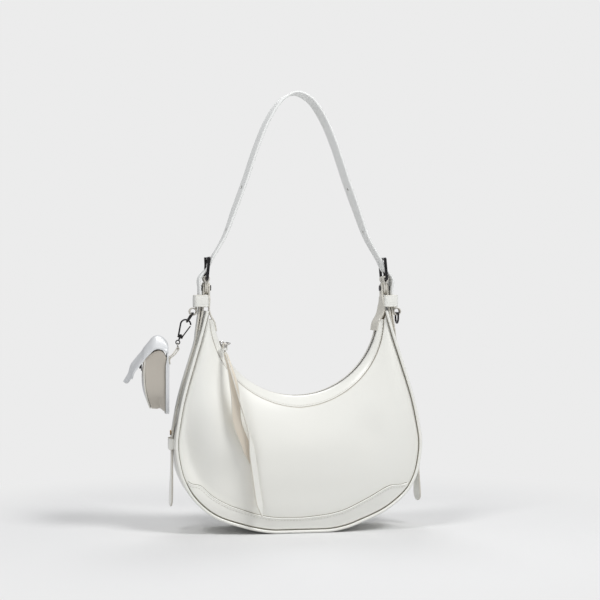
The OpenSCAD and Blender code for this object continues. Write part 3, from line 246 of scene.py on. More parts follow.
@dataclass
class Solid:
    """Points and faces of closed surfaces, in millimetres."""

    points: np.ndarray
    quads: np.ndarray
    marks: np.ndarray
    caps: list = field(default_factory=list)

    def moved(self, matrix: np.ndarray, shift: np.ndarray) -> "Solid":
        """Copy turned by a matrix and then shifted.

        Args:
            matrix: 3 by 3 matrix.
            shift: vector added after it.

        Returns:
            The new solid.
        """
        return Solid(self.points @ np.asarray(matrix, float).T + shift, self.quads, self.marks, self.caps)

    def mirrored(self, x: int = 1, y: int = 1) -> "Solid":
        """Copy with the signs of x and y set.

        Args:
            x: factor for x.
            y: factor for y.

        Returns:
            The new solid.
        """
        return self.moved(np.diag([x, y, 1]), np.zeros(3))


def joined(solids: list) -> Solid:
    """One solid that holds several.

    Args:
        solids: the solids.

    Returns:
        Their points and faces together.
    """
    start = np.cumsum([0] + [len(s.points) for s in solids])
    return Solid(
        np.vstack([s.points for s in solids]),
        np.vstack([s.quads + n for s, n in zip(solids, start)]),
        np.concatenate([s.marks for s in solids]),
        [(c + n, m) for s, n in zip(solids, start) for c, m in s.caps],
    )


def grid_quads(rows: int, cols: int, wrap: bool = False) -> np.ndarray:
    """Quads between the neighbours of a grid of points.

    Args:
        rows: number of rows.
        cols: number of points in a row.
        wrap: whether the last column meets the first.

    Returns:
        Four point numbers for each quad.
    """
    n = np.arange(rows * cols).reshape(rows, cols)
    m = np.concatenate([n, n[:, :1]], 1) if wrap else n
    return np.stack([m[:-1, :-1], m[1:, :-1], m[1:, 1:], m[:-1, 1:]], -1).reshape(-1, 4)


def slab(top: np.ndarray, bottom: np.ndarray, edge: float = 0.0, rings: int = 4) -> Solid:
    """Sheet between two grids of points, its rim rounded by half circles of radius edge.

    Args:
        top: grid of the grain side.
        bottom: grid of the reverse.
        edge: radius of the rim; the outline itself keeps its place.
        rings: steps round the rim.

    Returns:
        The closed solid.
    """
    nu, nv = top.shape[:2]
    n = np.arange(nu * nv).reshape(nu, nv)
    loop = np.concatenate([n[:, 0], n[-1, 1:], n[-2::-1, -1], n[0, -2:0:-1]])
    i, j = np.divmod(loop, nv)
    inner = np.clip(i, 1, nu - 2) * nv + np.clip(j, 1, nv - 2)
    a, b = top.reshape(-1, 3).copy(), bottom.reshape(-1, 3).copy()
    out = unit(a[loop] - a[inner] + b[loop] - b[inner])
    a[loop] -= out * edge
    b[loop] -= out * edge
    t = (math.pi * np.arange(1, rings) / rings)[:, None, None]
    rim = mix(a[loop], b[loop], (1 - np.cos(t)) / 2) + out * edge * np.sin(t)
    count = nu * nv
    body = grid_quads(nu, nv)
    ring_numbers = [loop] + [2 * count + k * len(loop) + np.arange(len(loop)) for k in range(rings - 1)]
    ring_numbers.append(count + loop)
    side = np.concatenate(
        [np.stack([p, np.roll(p, -1), np.roll(q, -1), q], -1) for p, q in zip(ring_numbers, ring_numbers[1:])]
    )
    turn = np.concatenate([body[:, ::-1], body + count, side[:, ::-1]])
    marks = np.repeat([Mark.GRAIN.value, Mark.BACK.value, Mark.EDGE.value], [len(body), len(body), len(side)])
    return Solid(np.vstack([a, b, rim.reshape(-1, 3)]), turn[:, ::-1], marks)


@dataclass(frozen=True)
class Section:
    """Cross section of a strap: its edges, the crown of its face and the groove of a seam."""

    crown: float = 0.12
    groove: float = 0.0
    groove_at: float = 2.0
    edge_steps: int = 5

    def rows(self, half: np.ndarray, t: np.ndarray) -> tuple:
        """Outline of the section at each station.

        The face lies at t/2 with a crown that falls off with the square of
        the distance from the middle, less a bell-shaped groove near both edges.

        Args:
            half: half width at each station.
            t: thickness at each station.

        Returns:
            Offsets across and along the normal, and the mark of each strip.
        """
        half, t = half[:, None], t[:, None]
        r = np.minimum(t * 0.45, half * 0.45)
        core = half - r
        near = np.array([0, 0.35, 0.8, 1.3, 1.75, 2.2, 2.7, 3.3])
        s = np.minimum(1, core / 4)
        left = np.concatenate([near * s - core, -(core - 3.3 * s) * 0.6, -(core - 3.3 * s) * 0.25], 1)
        across = np.concatenate([left, 0 * core, -left[:, ::-1]], 1)
        d = (core - np.abs(across)) / s
        lift = t / 2 + self.crown * (1 - (across / half) ** 2)
        lift = lift - self.groove * np.exp(-(((d - self.groove_at) / 0.45) ** 2))
        a = np.linspace(math.pi / 2, -math.pi / 2, self.edge_steps + 1)[1:-1]
        right_a = core + r * np.cos(a)
        right_l = t / 2 * np.sin(a) + 0 * core
        low = np.linspace(1, -1, 7) * core
        offsets = np.stack(
            [
                np.concatenate([across, right_a, low, -right_a[:, ::-1]], 1),
                np.concatenate([lift, right_l, -t / 2 + 0 * low, right_l[:, ::-1]], 1),
            ],
            -1,
        )
        n, e = across.shape[1] - 1, self.edge_steps
        marks = np.repeat([m.value for m in (Mark.GRAIN, Mark.EDGE, Mark.BACK, Mark.EDGE)], [n, e, 6, e])
        return offsets, marks


def ribbon(
    path: np.ndarray,
    across: np.ndarray | tuple,
    half: np.ndarray | float,
    t: float,
    section: Section = Section(),
    closed: bool = False,
    flip: int = 1,
) -> Solid:
    """Strap swept along a path.

    Args:
        path: middle line, one row for each station.
        across: direction of the width, one for all or one for each station.
        half: half width, one for all or one for each station.
        t: thickness.
        section: the cross section.
        closed: whether the strap meets itself.
        flip: 1 or -1, the side that carries the grain.

    Returns:
        The closed solid.
    """
    path = np.asarray(path, float)
    along = tangents(path, closed)
    across = unit(across + 0 * path)
    across = unit(across - along * np.sum(across * along, -1, keepdims=True))
    normal = np.cross(along, across) * flip
    half = half + np.zeros(len(path))
    thick = t + np.zeros(len(path))
    if not closed:
        step = 0.3 * t
        first, last = path[0] + along[0] * step, path[-1] - along[-1] * step
        path = np.concatenate([path[:1], [first], path[1:-1], [last], path[-1:]])
        grow = [0, 0] + list(range(1, len(across) - 1)) + [-1, -1]
        across, normal, half, thick = across[grow], normal[grow], half[grow], thick[grow].copy()
        thick[[0, -1]] *= 0.55
        half = half.copy()
        half[[0, -1]] -= np.minimum(step, half[[0, -1]] * 0.3)
    offsets, strip = section.rows(half, thick)
    points = path[:, None] + offsets[..., :1] * across[:, None] + offsets[..., 1:] * normal[:, None]
    rows, cols = points.shape[:2]
    points = points.reshape(-1, 3)
    quads = grid_quads(rows, cols, wrap=True)
    marks = np.tile(strip, rows - 1)
    caps = []
    if closed:
        a, b = (rows - 1) * cols + np.arange(cols), np.arange(cols)
        quads = np.concatenate([quads, np.stack([a, b, np.roll(b, -1), np.roll(a, -1)], -1)])
        marks = np.concatenate([marks, strip])
    else:
        ends = (np.arange(cols), (rows - 1) * cols + np.arange(cols)[::-1])
        caps = [(end, Mark.EDGE.value) for end in ends]
    return Solid(points, quads, marks, caps)


def tube(path: np.ndarray, side: np.ndarray, radius: float, sides: int = 14) -> Solid:
    """Round cord along a path, closed by flat ends.

    Args:
        path: middle line.
        side: a direction across the path, one for all or one for each point.
        radius: radius of the cord.
        sides: number of sides.

    Returns:
        The closed solid.
    """
    along = tangents(path)
    first = unit(side + 0 * path)
    first = unit(first - along * np.sum(first * along, -1, keepdims=True))
    second = np.cross(along, first)
    a = np.arange(sides) * 2 * math.pi / sides
    ring = first[:, None] * np.cos(a)[:, None] + second[:, None] * np.sin(a)[:, None]
    points = (path[:, None] + radius * ring).reshape(-1, 3)
    quads = grid_quads(len(path), sides, wrap=True)
    last = (len(path) - 1) * sides
    caps = [(np.arange(sides), Mark.EDGE.value), (last + np.arange(sides)[::-1], Mark.EDGE.value)]
    return Solid(points, quads, np.zeros(len(quads), int), caps)


def stitches(
    places: np.ndarray, along: np.ndarray, normal: np.ndarray, length: float = 2.3, radius: float = 0.36
) -> Solid:
    """Row of sewn stitches, each a short bead of thread that dips into the leather at both ends.

    Args:
        places: middle of each stitch on the surface.
        along: direction of the seam at each place.
        normal: direction away from the leather at each place.
        length: length of a stitch.
        radius: radius of the thread.

    Returns:
        The closed solids, together.
    """
    u = np.array([-1, -0.72, 0, 0.72, 1])
    girth = radius * np.array([0.35, 0.9, 1, 0.9, 0.35])
    rise = radius * 0.55 * (1 - 1.6 * u**4)
    a = np.arange(6) * math.pi / 3
    along, normal = unit(along), unit(normal)
    side = unit(np.cross(along, normal))
    up = np.cross(side, along)
    lift = rise[:, None] + girth[:, None] * np.sin(a)
    points = (
        places[:, None, None]
        + (u * length / 2)[:, None, None] * along[:, None, None]
        + (girth[:, None] * np.cos(a))[..., None] * side[:, None, None]
        + lift[..., None] * up[:, None, None]
    )
    count = len(places)
    one = grid_quads(5, 6, wrap=True)
    quads = (one[None] + 30 * np.arange(count)[:, None, None]).reshape(-1, 4)
    caps = []
    for n in range(count):
        caps.append((30 * n + np.arange(6)[::-1], 0))
        caps.append((30 * n + 24 + np.arange(6), 0))
    return Solid(points.reshape(-1, 3), quads[:, ::-1], np.zeros(len(quads), int), caps)


def seam_on(
    surface: Callable,
    q: np.ndarray,
    pitch: float = 3.1,
    length: float = 2.2,
    radius: float = 0.34,
    inset: float = 2.0,
) -> Solid:
    """Row of stitches along a line on a surface.

    Args:
        surface: function of running numbers and an offset across, giving points of the surface.
        q: running numbers along the line.
        pitch: distance from stitch to stitch.
        length: length of a stitch.
        radius: radius of the thread.
        inset: length left free at both ends.

    Returns:
        The stitches.
    """
    line = surface(q, 0.0)
    beside = surface(q, 0.5)
    along = tangents(line)
    normal = np.cross(along, unit(beside - line))
    k = evenly(line, pitch, inset)
    return stitches(at(line, k), at(along, k), at(normal, k), length, radius)


# Finishes


class Graph:
    """A material's node tree and the few moves that the finishes share."""

    def __init__(self, name: str) -> None:
        """Make the material.

        Args:
            name: name of the material.
        """
        self.material = bpy.data.materials.new(name)
        self.material.use_nodes = True
        self.nodes = self.material.node_tree.nodes
        self.links = self.material.node_tree.links
        self.shader = self.nodes["Principled BSDF"]
        self.place = self.nodes.new("ShaderNodeTexCoord").outputs["Object"]

    def set(self, **values: float) -> None:
        """Set constants on the shader's own sockets.

        Args:
            values: socket names, with _ for a space, and their values.
        """
        for key, value in values.items():
            self.shader.inputs[key.replace("_", " ")].default_value = value

    def node(self, kind: str, **values: tuple | float) -> bpy.types.Node:
        """Make a node and set constants on its sockets.

        Args:
            kind: type of the node.
            values: socket names, with _ for a space, and their values.

        Returns:
            The node.
        """
        node = self.nodes.new(kind)
        for key, value in values.items():
            node.inputs[key.replace("_", " ")].default_value = value
        return node

    def noise(
        self, scale: int, detail: float = 3.0, rough: float = 0.55, stretch: tuple = (1, 1, 1)
    ) -> bpy.types.NodeSocket:
        """Noise in the object's own coordinates.

        Args:
            scale: waves in a metre.
            detail: octaves.
            rough: share of each octave.
            stretch: factors for the three axes.

        Returns:
            The output socket.
        """
        scaled = self.node("ShaderNodeMapping", Scale=stretch)
        self.links.new(self.place, scaled.inputs["Vector"])
        tex = self.node("ShaderNodeTexNoise", Scale=scale, Detail=detail, Roughness=rough)
        self.links.new(scaled.outputs["Vector"], tex.inputs["Vector"])
        return tex.outputs["Fac"]

    def cells(self, scale: int) -> bpy.types.NodeSocket:
        """Distance to the nearest of scattered cells, for pores and pebbles.

        Args:
            scale: cells in a metre.

        Returns:
            The output socket.
        """
        tex = self.node("ShaderNodeTexVoronoi", Scale=scale)
        self.links.new(self.place, tex.inputs["Vector"])
        return tex.outputs["Distance"]

    def spread(
        self,
        source: bpy.types.NodeSocket,
        low: tuple | float,
        high: tuple | float,
        span: tuple = (0.35, 0.65),
    ) -> bpy.types.NodeSocket:
        """Numbers or colours that follow a source.

        Args:
            source: socket that runs from 0 to 1.
            low: value or colour at the start of the span.
            high: value or colour at its end.
            span: part of the source that is used.

        Returns:
            The output socket.
        """
        if isinstance(low, tuple):
            ramp = self.nodes.new("ShaderNodeValToRGB")
            for stop, where, colour in zip(ramp.color_ramp.elements, span, (low, high)):
                stop.position = where
                stop.color = (*colour, 1)
            self.links.new(source, ramp.inputs["Fac"])
            return ramp.outputs["Color"]
        ramp = self.node("ShaderNodeMapRange", From_Min=span[0], From_Max=span[1], To_Min=low, To_Max=high)
        self.links.new(source, ramp.inputs["Value"])
        return ramp.outputs["Result"]

    def drive(self, socket: str, source: bpy.types.NodeSocket) -> None:
        """Let a source set one of the shader's sockets.

        Args:
            socket: name of the socket.
            source: output socket.
        """
        self.links.new(source, self.shader.inputs[socket])

    def bump(self, *layers: tuple) -> None:
        """Layers of fine relief, one over the other.

        Args:
            layers: pairs of source and height in millimetres.
        """
        last = None
        for source, height in layers:
            node = self.node("ShaderNodeBump", Strength=1.0, Distance=height * MM)
            self.links.new(source, node.inputs["Height"])
            if last:
                self.links.new(last, node.inputs["Normal"])
            last = node.outputs["Normal"]
        self.links.new(last, self.shader.inputs["Normal"])


@dataclass(frozen=True)
class Leather:
    """Smooth coated leather, its cut edge or its reverse."""

    name: str
    light: tuple
    dark: tuple
    roughness: float = 0.3
    coat: float = 0.3
    pores: float = 0.012
    waves: float = 0.05

    def build(self) -> bpy.types.Material:
        """Make the material: broad colour change, uneven gloss, pores and faint waves.

        Returns:
            The material.
        """
        g = Graph(self.name)
        broad = g.noise(9, 1.0)
        g.drive("Base Color", g.spread(broad, self.dark, self.light, (0.25, 0.75)))
        gloss = g.spread(g.noise(30, 2.0), self.roughness - 0.03, self.roughness + 0.04, (0.2, 0.8))
        g.drive("Roughness", gloss)
        g.set(Coat_Weight=self.coat, Coat_Roughness=0.2, Specular_IOR_Level=0.5)
        g.bump((g.noise(45, 1.0), self.waves), (g.cells(1500), self.pores), (g.noise(2600, 1.0), self.pores))
        return g.material


@dataclass(frozen=True)
class Metal:
    """Polished or plated metal with fine rubbing marks."""

    name: str
    light: tuple
    dark: tuple
    roughness: float = 0.2

    def build(self) -> bpy.types.Material:
        """Make the material.

        Returns:
            The material.
        """
        g = Graph(self.name)
        g.set(Metallic=1.0)
        g.drive("Base Color", g.spread(g.noise(180, 3.0), self.dark, self.light))
        rubbed = g.noise(700, 3.0, stretch=(1, 1, 6))
        g.drive("Roughness", g.spread(rubbed, self.roughness - 0.06, self.roughness + 0.1))
        g.bump((g.noise(900, 2.0), 0.006))
        return g.material


@dataclass(frozen=True)
class Cloth:
    """Woven tape, lining cloth or thread."""

    name: str
    light: tuple
    dark: tuple
    threads: float = 1800.0
    depth: float = 0.04

    def build(self) -> bpy.types.Material:
        """Make the material: two crossing ribs of thread with uneven colour.

        Returns:
            The material.
        """
        g = Graph(self.name)
        g.set(Roughness=0.85, Sheen_Weight=0.15, Specular_IOR_Level=0.25)
        g.drive("Base Color", g.spread(g.noise(260, 3.0), self.dark, self.light))
        ribs = []
        for axis in ("X", "Z"):
            wave = g.node("ShaderNodeTexWave", Scale=self.threads, Distortion=0.6)
            wave.bands_direction = axis
            g.links.new(g.place, wave.inputs["Vector"])
            ribs.append((wave.outputs["Fac"], self.depth))
        g.bump(*ribs)
        return g.material


@dataclass(frozen=True)
class Finishes:
    """Every finish on the bag."""

    white: Leather = Leather("white_leather", (0.885, 0.885, 0.84), (0.865, 0.86, 0.81))
    strap: Leather = Leather("strap_leather", (0.90, 0.91, 0.90), (0.88, 0.885, 0.87), 0.5, 0.0, 0.0, 0.0)
    # Dark olive paint for the thin cords laid in seam grooves and punched holes: painted shade, standing in for the
    # shadow in those hollows.
    seam: Leather = Leather("painted_seam_shade", (0.22, 0.20, 0.15), (0.16, 0.145, 0.10), 0.5, 0.1, 0.0, 0.0)
    pouch_white: Leather = Leather("pouch_leather", (0.74, 0.755, 0.77), (0.69, 0.70, 0.71), 0.36, 0.2)
    # Tan-grey for the pouch's gusset: painted shade, the gusset's shaded tone put into its colour.
    pouch_side_shade: Leather = Leather("pouch_side_shade_leather", (0.55, 0.51, 0.45), (0.50, 0.46, 0.40), 0.42, 0.15)
    edge: Leather = Leather("leather_edge", (0.74, 0.72, 0.66), (0.66, 0.63, 0.56), 0.5, 0.1)
    back: Leather = Leather("leather_reverse", (0.72, 0.65, 0.52), (0.64, 0.56, 0.43), 0.62, 0.0, 0.05, 0.08)
    # Beige for the ring loops, the pull's short tail and the pouch's tab: painted shade, the tan tone that shaded
    # white leather takes.
    shade_beige: Leather = Leather("shaded_beige_leather", (0.76, 0.70, 0.60), (0.69, 0.62, 0.52), 0.42, 0.15)
    thread: Cloth = Cloth("white_thread", (0.80, 0.785, 0.735), (0.68, 0.66, 0.60), threads=2400.0)
    tape: Cloth = Cloth("zip_tape_weave", (0.74, 0.73, 0.70), (0.62, 0.61, 0.58))
    lining: Cloth = Cloth("lining_weave", (0.66, 0.58, 0.47), (0.57, 0.49, 0.39), threads=1400.0)
    gunmetal: Metal = Metal("gunmetal", (0.075, 0.072, 0.075), (0.045, 0.043, 0.045), 0.2)
    nickel: Metal = Metal("nickel", (0.62, 0.60, 0.57), (0.50, 0.48, 0.46), 0.2)
    teeth: Metal = Metal("zip_teeth_metal", (0.42, 0.41, 0.39), (0.30, 0.29, 0.28), 0.28)
    brass: Metal = Metal("brass", (0.50, 0.34, 0.16), (0.38, 0.25, 0.11), 0.26)


class Workshop:
    """Turns solids into pieces of the scene and keeps the materials."""

    def __init__(self, finishes: Finishes) -> None:
        """Build the materials.

        Args:
            finishes: the finishes of the bag.
        """
        self.made = {key: spec.build() for key, spec in vars(finishes).items()}

    def piece(
        self,
        name: str,
        solid: Solid,
        looks: tuple,
        body: str,
        nodes: list | tuple = (),
        slot: str | None = None,
        blend: tuple | None = None,
        cuts: tuple | list = (),
    ) -> bpy.types.Object:
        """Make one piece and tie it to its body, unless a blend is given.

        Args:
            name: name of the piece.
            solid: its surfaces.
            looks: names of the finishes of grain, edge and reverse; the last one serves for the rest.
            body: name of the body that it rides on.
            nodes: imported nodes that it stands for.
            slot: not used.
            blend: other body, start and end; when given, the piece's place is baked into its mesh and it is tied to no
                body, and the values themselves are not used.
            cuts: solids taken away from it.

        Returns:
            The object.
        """
        obj = self.raw(name, solid, looks)
        for k, cut in enumerate(cuts):
            self.cut(obj, self.raw(f"{name}_cut_{k}", cut, looks))
        if blend:
            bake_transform(obj)
        else:
            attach(obj, body)
        if nodes:
            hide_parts(*nodes)
        log.info("%s: %d faces", name, len(obj.data.polygons))
        return obj

    def raw(self, name: str, solid: Solid, looks: tuple) -> bpy.types.Object:
        """Mesh object with faces outward and three finishes.

        Args:
            name: name of the object.
            solid: its surfaces.
            looks: names of the finishes.

        Returns:
            The object, standing free.
        """
        p, q = solid.points, solid.quads
        a, b, c, d = p[q[:, 0]], p[q[:, 1]], p[q[:, 2]], p[q[:, 3]]
        volume = np.sum(a * np.cross(b, c)) + np.sum(a * np.cross(c, d))
        volume += sum(np.sum(p[k[0]] * np.cross(p[k[1:-1]], p[k[2:]])) for k, _ in solid.caps)
        turn = slice(None, None, -1) if volume < 0 else slice(None)
        faces = q[:, turn].tolist() + [k[turn].tolist() for k, _ in solid.caps]
        mesh = bpy.data.meshes.new(name)
        mesh.from_pydata((p * MM).tolist(), [], faces)
        marks = np.concatenate([solid.marks, np.array([m for _, m in solid.caps], int)]).astype(np.int32)
        for look in looks:
            mesh.materials.append(self.made[look])
        mesh.polygons.foreach_set("material_index", np.minimum(marks, len(looks) - 1))
        mesh.shade_smooth()
        mesh.set_sharp_from_angle(angle=math.radians(48))
        obj = bpy.data.objects.new(name, mesh)
        bpy.context.scene.collection.objects.link(obj)
        return obj

    @staticmethod
    def cut(obj: bpy.types.Object, cutter: bpy.types.Object) -> None:
        """Take a solid away from an object for good.

        Args:
            obj: the object.
            cutter: the object to take away; it is deleted.
        """
        mod = obj.modifiers.new("cut", "BOOLEAN")
        mod.operation, mod.solver, mod.object = "DIFFERENCE", "EXACT", cutter
        bpy.context.view_layer.update()
        graph = bpy.context.evaluated_depsgraph_get()
        mesh = bpy.data.meshes.new_from_object(obj.evaluated_get(graph))
        obj.modifiers.clear()
        obj.data = mesh
        bpy.data.objects.remove(cutter)

    def metal(self, look: str, *nodes: str) -> None:
        """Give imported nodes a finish.

        Args:
            look: name of the finish.
            nodes: names of the nodes.
        """
        for node in nodes:
            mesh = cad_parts[node].data
            mesh.materials.clear()
            mesh.materials.append(self.made[look])


# The bag's body


@dataclass(frozen=True)
class BodyForm:
    """Outline and sections of the body; columns run from -LAST to LAST along the outline."""

    half_w: float = 128.0
    height: float = 226.0
    base_w: float = 60.0
    tip_w: float = 20.0
    fold: float = 8.0
    leather: float = 1.8
    bulge: float = 12.0
    margin: float = 4.0
    gap: float = 0.25
    piping_r: float = 1.5
    zip_r: float = 87.0
    zip_z: float = 225.0
    drop: float = 11.0
    tip_drop: float = 5.0
    mouth_w: float = 44.0
    mouth_tip_w: float = 18.0
    arc_end: float = 85.0
    crown_half: float = 8.0
    slot_half: float = 3.6
    facing: float = 1.6
    tape_r: float = 88.725
    tape_end: float = 73.0
    cloth: float = 0.6
    pocket_foot: float = 40.0
    pocket_h: float = 62.0
    pocket_half: float = 55.0
    trim_t: float = 1.3
    trim_h: float = 14.4
    trim_ends: tuple = (-11.4, 10.6)
    trim_heights: tuple = (
        0.31, 0.58, 1.10, 1.18, 1.23, 1.21, 1.19, 1.16, 1.15, 1.13, 1.12, 1.10,
        1.09, 1.16, 1.25, 1.30, 1.33, 1.36, 1.40, 1.46, 1.50, 1.34, 0.75, 0.28,
    )  # fmt: skip
    foot_sag: tuple = (-8.3, 2.4, 3.6)
    outline: tuple = (
        (0, 0), (0.2, 0), (0.34, 0.011), (0.47, 0.035), (0.69, 0.09), (0.86, 0.165), (0.945, 0.24),
        (0.985, 0.32), (1, 0.4), (0.985, 0.48), (0.945, 0.6), (0.875, 0.74), (0.8, 0.88), (0.742, 1),
    )  # fmt: skip
    sags: tuple = (
        (-12.5, 0.15, 4.2, 0.2, -8.5), (-14.0, 0.58, 3.2, 0.2, 3.5), (-8.2, 0.36, 1.7, 0.2, -4.5),
        (1.0, 0.32, 8.0, 0.12, -1.2), (2.0, 0.68, 8.0, 0.14, 1.6), (9.5, 0.62, 2.2, 0.14, -2.2),
    )  # fmt: skip

    def outer(self, c: np.ndarray | float) -> np.ndarray:
        """Outline at column c: its shares times the half width and the height.

        The leather sags a little at the left of the foot, by a bell curve of the column.

        Args:
            c: columns.

        Returns:
            x and z.
        """
        p = smooth_at(self.outline, np.abs(c) / 2)
        place, width, drop = self.foot_sag
        z = p[..., 1] * self.height - drop * np.exp(-(((c - place) / width) ** 2))
        return np.stack([np.sign(c) * p[..., 0] * self.half_w, np.maximum(0, z)], -1)

    def edge_x(self, z: float) -> float:
        """Place of the right outline where it first reaches a height in its upper half.

        Args:
            z: the height.

        Returns:
            x.
        """
        p = self.outer(np.arange(LAST / 2, LAST + 0.01, 0.25))
        return p[p[:, 1] >= z][0, 0]

    def zip_arc(self, c: np.ndarray | float, r: np.ndarray | float) -> np.ndarray:
        """Arc of radius r about the zip's centre, arc_end degrees to each side.

        Args:
            c: columns.
            r: radius.

        Returns:
            x and z.
        """
        a = np.radians(self.arc_end) * np.asarray(c) / LAST
        return np.stack([r * np.sin(a), self.zip_z - r * np.cos(a)], -1)

    def seam_r(self, c: np.ndarray | float) -> np.ndarray | float:
        """Radius of the top seam, which nears the zip towards the tips.

        Args:
            c: columns.

        Returns:
            The radii.
        """
        return self.zip_r + mix(self.drop, self.tip_drop, np.abs(c) / LAST)

    def seam(self, c: np.ndarray | float) -> np.ndarray:
        """Top seam at column c.

        Args:
            c: columns.

        Returns:
            x and z.
        """
        return self.zip_arc(c, self.seam_r(c))

    def gusset_half(self, z: np.ndarray) -> np.ndarray:
        """Half width of the gusset at a height, falling off by the power 1.3.

        Args:
            z: heights.

        Returns:
            The half widths.
        """
        return mix(self.base_w, self.tip_w, (np.minimum(z, self.height) / self.height) ** 1.3) / 2

    def mouth_half(self, c: np.ndarray) -> np.ndarray:
        """Half width of the mouth, falling off by the power 1.5.

        Args:
            c: columns.

        Returns:
            The half widths.
        """
        return mix(self.mouth_w, self.mouth_tip_w, (np.abs(c) / LAST) ** 1.5) / 2

    def outward(self, c: np.ndarray) -> np.ndarray:
        """Outward direction of the outline, square to its chord over two columns.

        Args:
            c: columns.

        Returns:
            Unit vectors of x and z.
        """
        d = self.outer(np.minimum(c + 1, LAST)) - self.outer(np.maximum(c - 1, -LAST))
        side = unit(np.stack([d[..., 1], -d[..., 0]], -1))
        w = ease((np.abs(self.outer(c)[..., :1]) / self.half_w - 0.17) / 0.08)
        return unit(mix(np.array([0.0, -1.0]), side, w))

    def span(self, c: np.ndarray | float) -> np.ndarray | float:
        """Distance from the outline to the top seam.

        Args:
            c: columns.

        Returns:
            The distances.
        """
        return np.linalg.norm(self.seam(c) - self.outer(c), axis=-1)

    def margin_share(self, c: np.ndarray) -> np.ndarray:
        """Share of the span that the sewn margin takes.

        Args:
            c: columns.

        Returns:
            The shares.
        """
        depth = -np.sum(self.outward(c) * (self.seam(c) - self.outer(c)), -1)
        return np.minimum(self.margin / np.maximum(1, depth), 0.4)

    def depth(self, c: np.ndarray, v: np.ndarray) -> np.ndarray:
        """Distance of a panel's grain side from the middle plane.

        The panel runs straight from the gusset's half width to the mouth's,
        plus a swell of 4w(1 - w) that starts softly at the sewn margin, plus
        hollows and swells that are bell curves of the column and the share.

        Args:
            c: columns.
            v: 0 at the outline and 1 at the top seam.

        Returns:
            The distances.
        """
        f = self.margin_share(c)
        w = (v - f) / (1 - f)
        w = np.minimum((w + np.sqrt(w * w + 0.0004)) / 2, 1)
        swell = self.bulge * self.span(c) / self.span(0.0) * 4 * w * (1 - w)
        slack = sum(
            a * np.exp(-(((c - c0) / rc) ** 2) - ((v - v0) / rv) ** 2) for c0, v0, rc, rv, a in self.sags
        )
        slack = slack * ease((v - f) / 0.14) * ease((1 - v) / 0.2)
        straight = mix(self.gusset_half(self.outer(c)[..., 1]), self.mouth_half(c), v)
        return straight + self.leather + swell + slack

    def panel(self, c: np.ndarray, v: np.ndarray, lift: float | np.ndarray = 0.0) -> np.ndarray:
        """Point of the front panel's grain side.

        Args:
            c: columns.
            v: 0 at the outline and 1 at the top seam.
            lift: distance in front of it.

        Returns:
            Points.
        """
        c, v = np.broadcast_arrays(np.asarray(c, float), np.asarray(v, float))
        p = mix(self.outer(c), self.seam(c), v[..., None])
        return np.stack([p[..., 0], -(self.depth(c, v) + lift), p[..., 1]], -1)

    def fold_at(self, z: np.ndarray) -> np.ndarray:
        """Depth of the gusset's inward fold at a height.

        Args:
            z: heights.

        Returns:
            The depths.
        """
        s = z / self.height
        return self.fold * ease((s - 0.42) / 0.22) * ease((0.97 - s) / 0.11)

    def gusset(self, c: np.ndarray, g: np.ndarray, depth: float = 0.0) -> np.ndarray:
        """Point of the gusset, g from -1 at the front to 1 at the rear.

        Args:
            c: columns.
            g: stations across.
            depth: depth below the outline.

        Returns:
            Points.
        """
        c, g = np.broadcast_arrays(np.asarray(c, float), np.asarray(g, float))
        p = self.outer(c)
        inward = depth + self.fold_at(p[..., 1]) * (1 - np.sqrt(g * g + 0.0036)) * (1 - g**20)
        q = p - self.outward(c) * inward[..., None]
        edge = self.depth(c, np.minimum(2 * depth / self.span(c), self.margin_share(c)))
        return np.stack([q[..., 0], g * (edge - self.leather - self.gap), q[..., 1]], -1)


